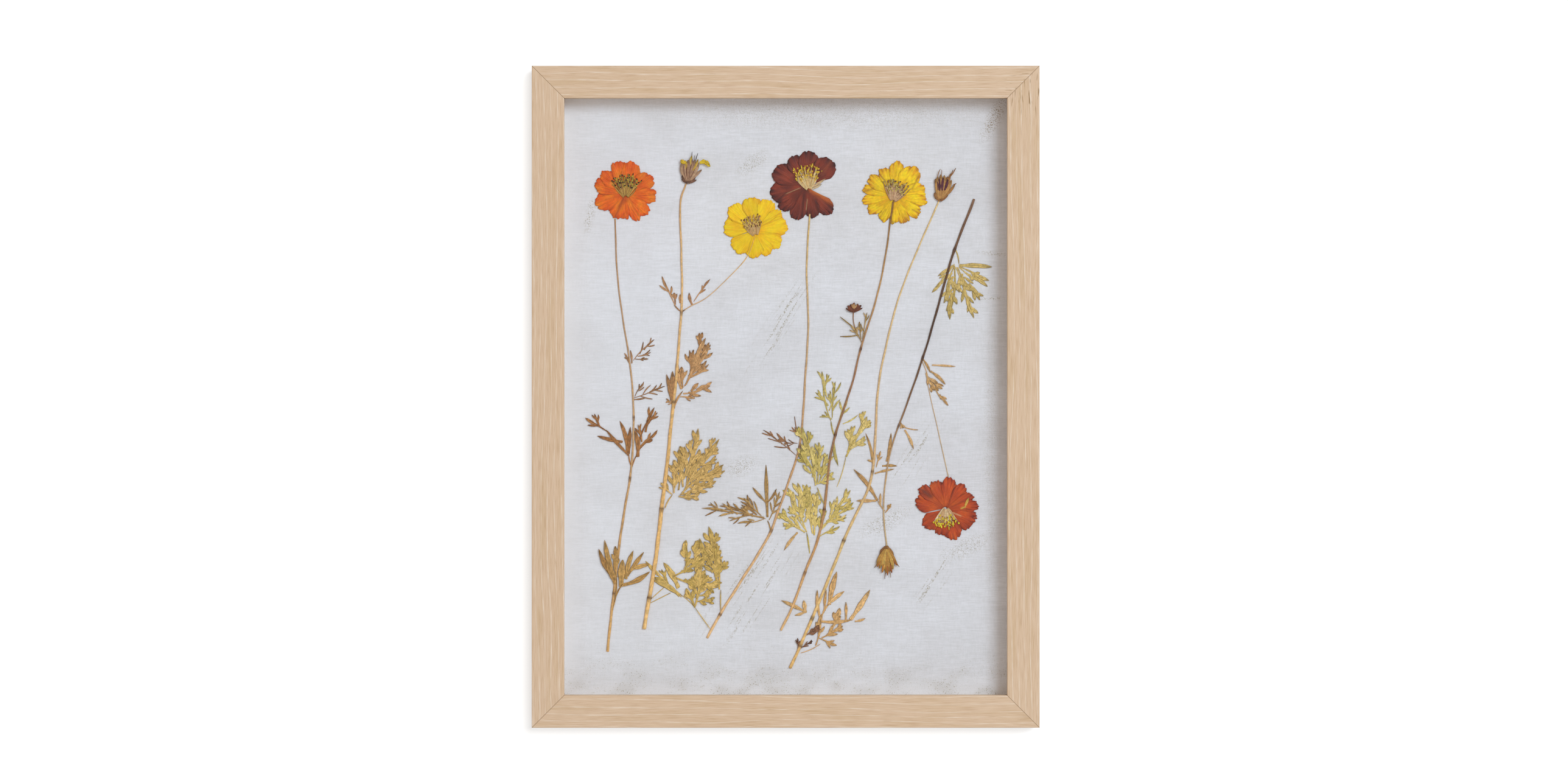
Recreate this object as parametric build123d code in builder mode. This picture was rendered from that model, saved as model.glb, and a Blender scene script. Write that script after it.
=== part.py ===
from build123d import *
from math import atan, cos, degrees, radians, sin
import os

# A wall-hung display frame with pressed flowers floating in its depth. Four mitred oak rails
# hold a package of glazing, spacers, linen ground and boards, which turn buttons lock in from
# behind. The origin is the middle of the frame on the wall plane, +Z up, the front facing -Y.

# The work and the moulding
art_width = 304.8  # the mounted work, side to side (12 in)
art_height = 406.4  # the mounted work, top to bottom (16 in)
face_width = 21.3  # a rail seen from the front
rail_depth = 28.0  # a rail from front to back
lip_cover = 6.35  # how far the lip covers the edge of the work
lip_depth = 5.0  # thickness of the lip in front of the glazing
package_play = 0.8  # gap between the package and the rabbet wall
arris_round = 0.5  # sanded corners of a rail

# The package, from the glazing back
glazing_thickness = 2.0
linen_thickness = 0.5
mount_board_thickness = 2.5
filler_thickness = 5.0
back_board_thickness = 3.0
spacer_setback = 0.75  # the spacers stand this far behind the lip's edge

# Corner joints
nail_leg = 5.0  # one leg of a V-nail
nail_sheet = 0.6
nail_length = 10.0
nail_shares = (0.5, 0.83)  # how far across the wood each nail's tip sits
nail_clearance = 0.05

# Turn buttons and screws
button_length = 24.0
button_width = 9.0
button_thickness = 1.0
button_clearance = 0.1
side_button_height = 75.0  # above and below the middle of a side rail
shank_radius = 1.5
head_radius = 3.4
head_height = 1.8
screw_length = 9.0
screw_tip = 2.5
tip_radius = 0.1
screw_clearance = 0.08
recess_length = 3.8
recess_width = 0.8
recess_depth = 1.0

# Ring hangers
wire_radius = 1.0
ring_half_width = 5.5
ring_corner = 1.6
ring_leg = 3.0
ring_tilt = 6.0  # degrees off the strap, where the hanging ring rests on it
strap_sheet = 0.8
strap_width = 7.2
strap_length = 21.0
strap_corner = 2.5
strap_screw_drop = 15.5  # from the ring's bar to the screw
hanger_drop = 78.0  # from the top of the frame to the ring's bar
eye_clearance = 0.05

# Wall bumpers
bumper_radius = 6.35
bumper_thickness = 4.0
bumper_round = 1.0
bumper_inset = 24.0  # from the outer side of the frame

# Pressed flowers, in thin layers in front of the linen
layout_width = 304.8  # the size of work that the flowers' places are given for
layout_height = 406.4
leaf_thickness = 0.25
stem_thickness = 0.8
bloom_thickness = 0.5
bud_thickness = 1.2
leaf_width = 2.4
leaf_root = 1.2  # how far a leaf runs back into the rib that it grows from
lobe_fork = 0.35  # where a feathery leaf's two side lobes leave it, from its base
lobe_angle = 36
petal_width = 11.0

# Sizes that follow
sight_width = art_width - 2 * lip_cover
sight_height = art_height - 2 * lip_cover
outer_width = sight_width + 2 * face_width
outer_height = sight_height + 2 * face_width
rabbet_width = art_width + 2 * package_play
rabbet_height = art_height + 2 * package_play
wood_width = face_width - lip_cover - package_play
spacer_width = lip_cover + package_play - spacer_setback

# Distances in front of the wall plane
back_at = bumper_thickness
filler_at = back_at + back_board_thickness
board_at = filler_at + filler_thickness
linen_at = board_at + mount_board_thickness
ground_at = linen_at + linen_thickness
front_at = back_at + rail_depth
glazing_at = front_at - lip_depth - glazing_thickness
spacer_depth = glazing_at - ground_at

# Screw seats, measured the same way
button_at = back_at - button_clearance - button_thickness
button_seat = button_at - button_clearance
strap_seat = back_at - 2 * strap_sheet

# Places of the hardware on the back, as (x, z)
side_x = (outer_width - wood_width) / 2
end_z = (outer_height - wood_width) / 2
hanger_z = outer_height / 2 - hanger_drop
button_places = {
    "turn_button_top": (0, end_z, -90),
    "turn_button_bottom": (0, -end_z, 90),
    "turn_button_upper_left": (-side_x, side_button_height, 0),
    "turn_button_lower_left": (-side_x, -side_button_height, 0),
    "turn_button_upper_right": (side_x, side_button_height, 180),
    "turn_button_lower_right": (side_x, -side_button_height, 180),
}
hanger_places = {"left": -side_x, "right": side_x}
button_screw_spots = [(x, z) for x, z, turn in button_places.values()]
hanger_screw_spots = [(x, hanger_z - strap_screw_drop) for x in hanger_places.values()]
bumper_places = {"left": bumper_inset - outer_width / 2, "right": outer_width / 2 - bumper_inset}

os.makedirs("parts", exist_ok=True)


def save(piece, name):
    """Label a finished piece and write its STEP file."""
    piece.part.label = name
    export_step(piece.part, f"parts/{name}.step")


def from_wall(distance):
    """The upright plane this far in front of the wall, its normal towards the front."""
    return Plane.XZ.offset(distance)


# V-nails: bent steel wedges driven in from behind across each mitre, two to a corner
def nail_section(extra):
    """The V of every nail, as one sketch; extra widens it into the slot that it sits in."""
    corners = {(1, 1): 180, (1, -1): 90, (-1, 1): -90, (-1, -1): 0}
    with BuildSketch(from_wall(back_at)) as section:
        for (across, up), turn in corners.items():
            for share in nail_shares:
                tip_x = across * (outer_width / 2 - share * wood_width)
                tip_z = up * (outer_height / 2 - share * wood_width)
                with Locations(Location((tip_x, tip_z, 0), (0, 0, turn))):
                    with Locations((-nail_sheet / 2 - extra, -nail_sheet / 2 - extra)):
                        for leg in (
                            (nail_leg + 2 * extra, nail_sheet + 2 * extra),
                            (nail_sheet + 2 * extra, nail_leg + 2 * extra),
                        ):
                            Rectangle(*leg, align=(Align.MIN, Align.MIN))
    return section.sketch


with BuildPart() as corner_nails:
    extrude(nail_section(0), amount=nail_length)
save(corner_nails, "corner_nails")

with BuildPart() as nail_slots:
    extrude(nail_section(nail_clearance), amount=nail_length + nail_clearance)

# Rails: one rabbeted oak moulding, mitred at both ends, with its slots and pilot holes
rails = {
    "rail_bottom": ((0, 0, -outer_height / 2), (0, 0, 1), (1, 0, 0), outer_width),
    "rail_top": ((0, 0, outer_height / 2), (0, 0, -1), (-1, 0, 0), outer_width),
    "rail_left": ((-outer_width / 2, 0, 0), (1, 0, 0), (0, 0, -1), outer_height),
    "rail_right": ((outer_width / 2, 0, 0), (-1, 0, 0), (0, 0, 1), outer_height),
}
for name, (outer_edge, inward, along, length) in rails.items():
    start, inward, along = Vector(*outer_edge), Vector(*inward), Vector(*along)
    with BuildPart() as rail:
        with BuildSketch(Plane(origin=start, x_dir=inward, z_dir=along)) as moulding:
            with Locations((0, back_at)):
                Rectangle(face_width, rail_depth, align=(Align.MIN, Align.MIN))
            with Locations((wood_width, back_at)):
                Rectangle(
                    face_width - wood_width,
                    rail_depth - lip_depth,
                    align=(Align.MIN, Align.MIN),
                    mode=Mode.SUBTRACT,
                )
            fillet(moulding.vertices().group_by(Axis.Y)[-1], radius=arris_round)
            fillet(moulding.vertices().group_by(Axis.Y)[0].sort_by(Axis.X)[0], radius=arris_round)
        extrude(amount=length / 2, both=True)
        for end in (1, -1):
            corner = start + along * (end * length / 2)
            split(bisect_by=Plane(origin=corner, z_dir=along * end + inward), keep=Keep.BOTTOM)
        add(nail_slots.part, mode=Mode.SUBTRACT)
        with BuildSketch(from_wall(back_at)):
            with Locations(*button_screw_spots, *hanger_screw_spots):
                Circle(shank_radius + screw_clearance)
        extrude(amount=screw_length + screw_clearance, mode=Mode.SUBTRACT)
    save(rail, name)

# Glazing, linen ground and boards: flat sheets of the work's own size
sheets = {
    "glazing": (glazing_at, glazing_thickness),
    "linen": (linen_at, linen_thickness),
    "mount_board": (board_at, mount_board_thickness),
    "filler_board": (filler_at, filler_thickness),
    "back_board": (back_at, back_board_thickness),
}
for name, (distance, thickness) in sheets.items():
    with BuildPart() as sheet:
        with BuildSketch(from_wall(distance)):
            Rectangle(art_width, art_height)
        extrude(amount=thickness)
    save(sheet, name)

# Spacers: oak-faced strips that hold the glazing off the flowers, long ones at top and bottom
spacer_x = (rabbet_width - spacer_width) / 2
spacer_z = (rabbet_height - spacer_width) / 2
spacers = {
    "spacer_top": (0, spacer_z, rabbet_width, spacer_width),
    "spacer_bottom": (0, -spacer_z, rabbet_width, spacer_width),
    "spacer_left": (-spacer_x, 0, spacer_width, rabbet_height - 2 * spacer_width),
    "spacer_right": (spacer_x, 0, spacer_width, rabbet_height - 2 * spacer_width),
}
for name, (x, z, width, height) in spacers.items():
    with BuildPart() as spacer:
        with BuildSketch(from_wall(ground_at)):
            with Locations((x, z)):
                Rectangle(width, height)
        extrude(amount=spacer_depth)
    save(spacer, name)

# Turn buttons: sprung steel strips that turn on their screws to free the back board
for name, (x, z, turn) in button_places.items():
    with BuildPart() as button:
        with BuildSketch(from_wall(button_at)):
            with Locations(Location((x, z, 0), (0, 0, turn))):
                with Locations(((button_length - button_width) / 2, 0)):
                    SlotOverall(button_length, button_width)
                Circle(shank_radius + button_clearance, mode=Mode.SUBTRACT)
        extrude(amount=button_thickness)
    save(button, name)


# Screws: pan heads with a cross recess and a pointed end
def wood_screws(name, spots, seat):
    """A group of like screws, their heads seated this far in front of the wall."""
    with BuildPart() as screws:
        with BuildSketch(from_wall(seat - head_height)):
            with Locations(*spots):
                Circle(head_radius)
        extrude(amount=head_height)
        fillet(screws.edges().group_by(Axis.Y)[-1], radius=head_height / 2)
        with BuildSketch(from_wall(seat)):
            with Locations(*spots):
                Circle(shank_radius)
        extrude(amount=back_at + screw_length - screw_tip - seat)
        with BuildSketch(from_wall(back_at + screw_length - screw_tip)):
            with Locations(*spots):
                Circle(shank_radius)
        extrude(amount=screw_tip, taper=degrees(atan((shank_radius - tip_radius) / screw_tip)))
        with BuildSketch(from_wall(seat - head_height)):
            with Locations(*spots):
                Rectangle(recess_length, recess_width)
                Rectangle(recess_width, recess_length)
        extrude(amount=recess_depth, mode=Mode.SUBTRACT)
    save(screws, name)


wood_screws("button_screws", button_screw_spots, button_seat)
wood_screws("hanger_screws", hanger_screw_spots, strap_seat)

# Ring hangers: a folded steel strap holds a D-ring by its straight bar
eye_radius = wire_radius + eye_clearance
eye_at = back_at - strap_sheet - eye_radius
for side, x in hanger_places.items():
    with BuildPart() as strap:
        with BuildSketch(Plane.YZ.offset(x)):
            with Locations((-back_at, hanger_z)):
                Rectangle(2 * strap_sheet, strap_length, align=(Align.MIN, Align.MAX))
            with Locations((-eye_at, hanger_z)):
                Circle(eye_radius + strap_sheet)
                Circle(eye_radius, mode=Mode.SUBTRACT)
        extrude(amount=strap_width / 2, both=True)
        foot = strap.edges().filter_by(Axis.Y).group_by(Axis.Z)[0]
        fillet(foot, radius=strap_corner)
        with BuildSketch(from_wall(strap_seat)):
            with Locations((x, hanger_z - strap_screw_drop)):
                Circle(shank_radius + screw_clearance)
        extrude(amount=2 * strap_sheet, mode=Mode.SUBTRACT)
    save(strap, f"hanger_strap_{side}")

    tilt = radians(ring_tilt)
    ring_plane = Plane(
        origin=(x, -eye_at, hanger_z), x_dir=(1, 0, 0), z_dir=(0, cos(tilt), sin(tilt))
    )
    with BuildPart() as ring:
        with BuildLine(ring_plane) as bend:
            half_bar = ring_half_width - ring_corner
            bar = Line((-half_bar, 0), (half_bar, 0))
            right_corner = JernArc(bar @ 1, bar % 1, ring_corner, 90)
            right_leg = Line(right_corner @ 1, right_corner @ 1 + (right_corner % 1) * ring_leg)
            bow = JernArc(right_leg @ 1, right_leg % 1, ring_half_width, 180)
            left_leg = Line(bow @ 1, bow @ 1 + (bow % 1) * ring_leg)
            JernArc(left_leg @ 1, left_leg % 1, ring_corner, 90)
        with BuildSketch(Plane(origin=bar @ 0, z_dir=bar % 0)):
            Circle(wire_radius)
        sweep(path=bend.wires()[0])
    save(ring, f"hanger_ring_{side}")

# Bumpers: soft pads that keep the lower corners off the wall and the frame level
for side, x in bumper_places.items():
    with BuildPart() as bumper:
        with BuildSketch(from_wall(0)):
            with Locations((x, -end_z)):
                Circle(bumper_radius)
        extrude(amount=bumper_thickness)
        fillet(bumper.edges().group_by(Axis.Y)[-1], radius=bumper_round)
    save(bumper, f"bumper_{side}")

# Pressed flowers: flat pieces in layers on the linen, leaves undermost, then stems, then heads.
# Neighbouring specimens use alternate leaf layers, so crossing leaves lie on each other.
# Every place is (x, z) on the ground. A leaf is its base, its tip, and the reach of its two
# side lobes, or 0 where it has none.
specimens = {
    "orange": {
        "leaf_layer": 0,
        "stems": [
            (1.3, [(-113, 118), (-112, 86), (-108, 52), (-103, 20), (-101, -6), (-102, -45), (-108, -82),
                   (-114, -130), (-118, -169)]),
        ],
        "leaves": [
            (-104, -39, -119, -22, 0), (-117, -24, -133, -14, 8), (-104, -38, -103, -20, 0),
            (-105, -37, -110, -16, 0), (-108, -30, -125, -26, 0), (-99, -40, -87, -7, 10),
            (-98, -40, -100, -22, 0), (-97, -35, -85, -22, 5), (-113, -122, -124, -101, 0),
            (-113, -121, -120, -95, 0), (-112, -120, -113, -99, 6), (-113, -124, -119, -108, 0),
            (-109, -126, -108, -108, 0), (-108, -125, -90, -116, 0), (-106, -121, -101, -102, 0),
            (-105, -119, -94, -103, 0), (-103, -115, -90, -111, 0),
        ],
        "bloom": ((-106, 134), 21, (103, 76, 33, -3, -45, -75, -110, -161, 158, 133)),
    },
    "yellow": {
        "leaf_layer": 1,
        "stems": [
            (1.8, [(-66, 141), (-70, 127), (-69, 95), (-69, 60), (-72, 20), (-77, -30), (-83, -82),
                   (-88, -120), (-94, -154)]),
            (0.7, [(-69, 56), (-63, 60), (-52, 66), (-40, 77), (-26, 92), (-20, 107)]),
        ],
        "leaves": [
            (-73, 60, -82, 80, 7), (-73, 61, -74, 69, 4), (-70, 62, -70, 68, 0), (-62, 61, -64, 69, 0),
            (-61, 63, -50, 78, 5), (-74, -8, -79, 15, 0), (-74, -3, -75, 17, 0), (-69, 5, -72, 24, 0),
            (-68, 6, -69, 20, 6), (-67, 7, -53, 39, 12), (-66, 8, -51, 33, 11), (-68, 2, -50, 7, 8),
            (-70, 0, -60, -1, 4), (-75, -65, -83, -57, 5), (-74, -64, -74, -47, 8),
            (-71, -62, -71, -35, 8), (-68, -60, -67, -33, 8), (-66, -62, -58, -21, 11),
            (-68, -64, -44, -28, 11), (-66, -60, -54, -37, 9), (-69, -64, -41, -45, 9),
            (-66, -60, -40, -49, 8), (-70, -65, -46, -56, 7), (-71, -66, -58, -66, 6),
            (-70, -132, -89, -121, 0), (-69, -133, -93, -109, 9), (-71, -127, -81, -110, 0),
        ],
        "bloom": ((-21, 112), 21, (98, 60, 25, -10, -50, -85, -125, -165, 160, 130)),
        "bud": ((-65, 142), (-62, 158), 12),
    },
    "maroon": {
        "leaf_layer": 0,
        "stems": [
            (1.4, [(16, 121), (14, 88), (15, 50), (13, 10), (10, -28), (7, -42), (-4, -73), (-12, -94),
                   (-32, -126), (-46, -149), (-52, -160)]),
        ],
        "leaves": [
            (3, -35, -6, -24, 5), (-13, -81, -56, -74, 11), (-14, -80, -39, -72, 8),
            (-16, -79, -28, -67, 8), (-12, -80, -13, -45, 0), (-13, -70, -22, -60, 0),
            (-11, -82, -4, -63, 6), (-60, -140, -66, -127, 6), (-60, -139, -56, -112, 10),
            (-59, -136, -48, -135, 5), (-58, -132, -49, -130, 5), (-73, -120, -44, -126, 10),
            (-74, -119, -50, -104, 9), (-67, -117, -66, -95, 7), (-62, -112, -58, -95, 6),
            (-44, -128, -51, -86, 10), (-44, -126, -57, -94, 9), (-44, -118, -38, -109, 5),
            (-46, -124, -46, -98, 6),
        ],
        "bloom": ((13, 139), 23, (84, 113, 152, -168, -139, -107, -75, -48, 44)),
    },
    "golden": {
        "leaf_layer": 1,
        "stems": [
            (1.4, [(71, 129), (67, 98), (60, 64), (50, 33), (44, 8), (33, -25), (29, -45), (26, -72),
                   (21, -96), (12, -119), (5, -138), (-3, -155)]),
            (0.6, [(51, 35), (47, 43), (45, 50), (45, 57)]),
        ],
        "leaves": [
            (30, -16, 24, 17, 11), (31, -14, 33, 10, 9), (35, -18, 41, -1, 7), (31, -15, 24, -12, 5),
            (32, -28, 35, -46, 0), (40, -40, 54, -13, 11), (41, -37, 44, -21, 7),
            (20, -59, 11, -20, 11), (20, -58, 10, -34, 8), (21, -58, 22, -30, 8),
            (22, -58, 28, -38, 8), (21, -58, 31, -53, 6), (14, -90, 8, -57, 10), (13, -88, 1, -60, 9),
            (13, -90, -5, -77, 8), (11, -80, 14, -58, 8), (18, -91, 16, -62, 7), (19, -92, 21, -63, 7),
            (22, -93, 25, -74, 6), (23, -88, 43, -62, 10), (26, -85, 45, -70, 8),
            (26, -84, 39, -81, 5), (22, -93, 36, -86, 5), (8, -90, -1, -102, 0),
            (14, -143, -3, -135, 0), (13, -143, 12, -135, 0), (14, -142, 6, -145, 0),
        ],
        "bloom": ((72, 134), 21, (84, 52, 11, -34, -76, -105, -124, -170, 168, 143, 112)),
        "bud": ((45, 56), (45, 63), 11),
    },
    "seedhead": {
        "leaf_layer": 0,
        "stems": [
            (1.4, [(102, 130), (86, 94), (74, 62), (67, 35), (61, 2), (59, -38), (55, -60), (42, -88),
                   (30, -117), (19, -144), (3, -180)]),
        ],
        "leaves": [
            (58, -50, 53, -24, 0), (60, -47, 63, -36, 4), (64, -46, 74, -46, 0),
            (23, -147, 21, -128, 0), (26, -142, 27, -128, 0), (29, -138, 34, -116, 0),
            (28, -138, 39, -129, 0), (20, -165, 24, -144, 7), (23, -149, 44, -148, 0),
            (43, -148, 56, -128, 0), (30, -156, 36, -140, 6), (40, -148, 40, -136, 0),
            (24, -160, 38, -152, 6), (22, -160, 34, -165, 5), (14, -158, 22, -153, 4),
            (18, -158, 22, -152, 4),
        ],
        "bud": ((101, 130), (106, 147), 13),
    },
    "russet": {
        "leaf_layer": 1,
        "stems": [
            (1.5, [(125, 131), (113, 100), (103, 67), (95, 38), (88, 17), (79, -9), (71, -31), (67, -50),
                   (65, -75), (67, -100)]),
            (0.7, [(90, 25), (94, 15), (95, 5), (101, -22), (108, -53)]),
        ],
        "leaves": [
            (115, 87, 137, 86, 0), (116, 86, 135, 77, 5), (115, 86, 134, 73, 5), (114, 86, 129, 64, 8),
            (113, 86, 125, 52, 8), (112, 87, 109, 51, 7), (112, 87, 105, 62, 7), (112, 88, 97, 69, 5),
            (111, 87, 101, 80, 0), (96, 17, 106, 8, 0), (93, 16, 99, 4, 6), (96, 12, 104, 5, 5),
            (99, 6, 108, -6, 4), (76, -16, 78, -21, 3), (79, -22, 85, -35, 0), (67, -43, 70, -24, 0),
            (61, -69, 45, -48, 0), (60, -69, 47, -69, 0), (66, -77, 70, -71, 3),
        ],
        "bloom": ((107, -75), 20, (86, 46, 4, -30, -74, -117, -149, 165, 127)),
        "bud": ((67, -99), (68, -119), 12),
    },
}
layout = min(art_width / layout_width, art_height / layout_height)
stem_at = ground_at + 2 * leaf_thickness
head_at = stem_at + stem_thickness


def blade(base, tip, width):
    """A pointed oval from base to tip, this wide in the middle, scaled to the layout."""
    base, tip = Vector(base) * layout, Vector(tip) * layout
    bulge = (tip - base).cross(Vector(0, 0, 1)).normalized() * (width * layout / 2)
    with BuildSketch() as oval:
        with BuildLine():
            ThreePointArc(base, (base + tip) / 2 + bulge, tip)
            ThreePointArc(tip, (base + tip) / 2 - bulge, base)
        make_face()
    return oval.sketch


for name, specimen in specimens.items():
    with BuildPart() as stem:
        with BuildSketch(from_wall(stem_at)):
            for width, points in specimen["stems"]:
                with BuildLine():
                    Polyline(*[(x * layout, z * layout) for x, z in points])
                trace(line_width=width * layout)
        extrude(amount=stem_thickness)
    save(stem, f"{name}_stem")

    with BuildPart() as leaves:
        with BuildSketch(from_wall(ground_at + specimen["leaf_layer"] * leaf_thickness)):
            for base_x, base_z, tip_x, tip_z, reach in specimen["leaves"]:
                base, tip = Vector(base_x, base_z), Vector(tip_x, tip_z)
                along = (tip - base).normalized()
                add(blade(base - along * leaf_root, tip, leaf_width))
                if reach:
                    fork = base + (tip - base) * lobe_fork
                    for angle in (lobe_angle, -lobe_angle):
                        lobe = along.rotate(Axis.Z, angle) * reach
                        add(blade(fork, fork + lobe, leaf_width))
        extrude(amount=leaf_thickness)
    save(leaves, f"{name}_leaves")

    if "bloom" in specimen:
        (x, z), reach, angles = specimen["bloom"]
        with BuildPart() as bloom:
            with BuildSketch(from_wall(head_at)):
                for angle in angles:
                    turn = radians(angle)
                    tip = (x + reach * cos(turn), z + reach * sin(turn))
                    add(blade((x, z), tip, petal_width))
            extrude(amount=bloom_thickness)
        save(bloom, f"{name}_bloom")

    if "bud" in specimen:
        base, tip, width = specimen["bud"]
        with BuildPart() as bud:
            with BuildSketch(from_wall(head_at)):
                add(blade(base, tip, width))
            extrude(amount=bud_thickness)
        save(bud, f"{name}_bud")
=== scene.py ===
"""A deep oak display frame with pressed flowers on gessoed linen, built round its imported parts."""

import math

import bpy
import numpy as np
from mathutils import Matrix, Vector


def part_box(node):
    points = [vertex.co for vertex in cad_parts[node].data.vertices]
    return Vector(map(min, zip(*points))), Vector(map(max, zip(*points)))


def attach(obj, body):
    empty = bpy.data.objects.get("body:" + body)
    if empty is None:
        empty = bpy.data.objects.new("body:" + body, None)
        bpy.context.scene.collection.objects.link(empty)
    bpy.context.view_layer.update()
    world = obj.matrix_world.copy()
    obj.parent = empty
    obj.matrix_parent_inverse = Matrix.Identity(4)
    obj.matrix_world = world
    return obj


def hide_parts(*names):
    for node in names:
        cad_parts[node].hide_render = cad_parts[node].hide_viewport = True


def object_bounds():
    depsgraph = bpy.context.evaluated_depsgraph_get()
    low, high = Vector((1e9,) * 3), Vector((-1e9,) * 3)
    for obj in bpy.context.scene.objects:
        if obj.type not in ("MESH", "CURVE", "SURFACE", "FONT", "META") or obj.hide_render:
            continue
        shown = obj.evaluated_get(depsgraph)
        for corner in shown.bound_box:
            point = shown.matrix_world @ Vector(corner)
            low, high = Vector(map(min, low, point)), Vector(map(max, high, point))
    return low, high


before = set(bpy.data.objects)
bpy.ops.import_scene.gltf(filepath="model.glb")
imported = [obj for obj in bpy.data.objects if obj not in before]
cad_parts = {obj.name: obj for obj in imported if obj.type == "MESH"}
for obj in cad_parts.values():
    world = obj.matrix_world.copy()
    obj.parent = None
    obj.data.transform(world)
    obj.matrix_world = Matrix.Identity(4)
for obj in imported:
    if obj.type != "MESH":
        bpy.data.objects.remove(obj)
cad_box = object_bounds()

MM = 0.001

# Oak rails. Four lengths of one rabbeted moulding in pale limed oak, planed, sanded and left
# matt, glued and V-nailed at the mitres. The grain runs along each rail, so it turns at the
# corners, and a hairline of glue and shadow shows along each mitre.
low, high = cad_box
half_width, half_height = high.x, high.z
rail_grain = {"rail_top": "x", "rail_bottom": "x", "rail_left": "z", "rail_right": "z"}


def linear(code):
    """The linear colour of an sRGB hex value, by the sRGB curve, with full alpha."""
    parts = [int(code[i : i + 2], 16) / 255 for i in (1, 3, 5)]
    return tuple(v / 12.92 if v <= 0.04045 else ((v + 0.055) / 1.055) ** 2.4 for v in parts) + (1.0,)


def add(tree, kind, inputs=None, stops=None, **settings):
    """Adds one shader node with its settings, links or fills its inputs, and returns it.

    A node given as an input stands for its first output.
    """
    made = tree.nodes.new("ShaderNode" + kind)
    for name, value in settings.items():
        setattr(made, name, value)
    for name, value in (inputs or {}).items():
        if isinstance(value, bpy.types.Node):
            value = value.outputs[0]
        if isinstance(value, bpy.types.NodeSocket):
            tree.links.new(value, made.inputs[name])
        else:
            made.inputs[name].default_value = value
    if stops:
        points = made.color_ramp.elements
        while len(points) < len(stops):
            points.new(0.5)
        for point, (place, colour) in zip(points, stops):
            point.position = place
            point.color = linear(colour) if isinstance(colour, str) else (colour,) * 3 + (1.0,)
    return made


def new_material(name):
    """An empty node material, its tree, and its output node."""
    material = bpy.data.materials.new(name)
    material.use_nodes = True
    material.node_tree.nodes.clear()
    return material, material.node_tree, add(material.node_tree, "OutputMaterial")


def paint(name, material):
    """Gives a part that keeps its own shape one material all over."""
    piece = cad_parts[name]
    piece.data.materials.clear()
    piece.data.materials.append(material)


def limed_oak(name, grain, seed, tones):
    """Limed oak: fine fibres, warm clouds, and pale growth lines about 4 mm apart.

    The growth lines are a triangle wave across the grain, its phase moved by long noise so
    that the lines wander, and broken up by short noise. The rest is noise drawn out along the
    grain. tones are the dark wood, the wood between, the pale lines, and the pores.
    """
    dark, wood, pale, pore = tones
    material, tree, output = new_material(name)
    place = add(tree, "TexCoord").outputs["Object"]
    moved = add(tree, "Mapping", {"Vector": place, "Location": (seed, seed * 0.37, seed * 0.71)})

    def drawn_out(length_mm, width_mm, detail, distortion=0.0, roughness=0.5):
        """Noise whose patches are this long along the grain and this wide across it."""
        along, across = 1 / (length_mm * MM), 1 / (width_mm * MM)
        scale = (along, across, across) if grain == "x" else (across, across, along)
        stretched = add(tree, "Mapping", {"Vector": moved, "Scale": scale})
        return add(
            tree,
            "TexNoise",
            {
                "Vector": stretched,
                "Scale": 1.0,
                "Detail": detail,
                "Distortion": distortion,
                "Roughness": roughness,
            },
        ).outputs["Fac"]

    clouds = add(
        tree,
        "ValToRGB",
        {"Fac": drawn_out(48, 5.0, 3.0, 0.3)},
        stops=[(0.32, dark), (0.52, wood)],
    )
    fibres = add(
        tree,
        "ValToRGB",
        {"Fac": drawn_out(13, 0.5, 3.0)},
        stops=[(0.32, "#EAE2D8"), (0.50, "#F9F6F2"), (0.66, "#FFFFFF")],
    )
    fibred = add(tree, "Mix", {0: 0.9, 6: clouds, 7: fibres}, data_type="RGBA", blend_type="MULTIPLY")
    spot = add(tree, "SeparateXYZ", {0: moved})
    level = add(
        tree,
        "Math",
        {0: spot.outputs["Y"], 1: 0.8, 2: spot.outputs["Z" if grain == "x" else "X"]},
        operation="MULTIPLY_ADD",
    )
    counted = add(tree, "Math", {0: level, 1: 1 / (4.2 * MM)}, operation="MULTIPLY")
    phase = add(tree, "Math", {0: drawn_out(130, 17, 1.0), 1: 2.6, 2: counted}, operation="MULTIPLY_ADD")
    wave = add(tree, "Math", {0: phase, 1: 0.5}, operation="PINGPONG")
    line = add(
        tree,
        "MapRange",
        {"Value": wave, "From Min": 0.02, "From Max": 0.12, "To Min": 1.0, "To Max": 0.0},
    )
    broken = add(
        tree, "ValToRGB", {"Fac": drawn_out(11, 0.9, 2.0)}, stops=[(0.36, 0.06), (0.56, 0.42), (0.74, 0.9)]
    )
    limed = add(tree, "Math", {0: line, 1: broken}, operation="MULTIPLY")
    lined = add(tree, "Mix", {0: limed, 6: fibred.outputs[2], 7: linear(pale)}, data_type="RGBA")
    pores = add(tree, "ValToRGB", {"Fac": drawn_out(4.5, 0.40, 1.0)}, stops=[(0.70, 0.0), (0.80, 0.8)])
    flushes = add(tree, "ValToRGB", {"Fac": drawn_out(50, 9, 1.0)}, stops=[(0.42, 0.0), (0.68, 0.8)])
    pored = add(tree, "Math", {0: pores, 1: flushes}, operation="MULTIPLY")
    shown = add(tree, "Mix", {0: pored, 6: lined.outputs[2], 7: linear(pore)}, data_type="RGBA")
    return material, tree, output, shown.outputs[2], drawn_out(28, 0.55, 2.0), place, moved


def finish_oak(tree, output, colour, relief):
    """The matt oiled surface over the oak's colour: rough, with the fibres just in relief."""
    bump = add(tree, "Bump", {"Strength": 0.35, "Distance": 0.15 * MM, "Height": relief})
    skin = add(
        tree,
        "BsdfPrincipled",
        {"Base Color": colour, "Roughness": 0.62, "IOR": 1.5, "Normal": bump},
    )
    tree.links.new(skin.outputs[0], output.inputs[0])


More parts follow.
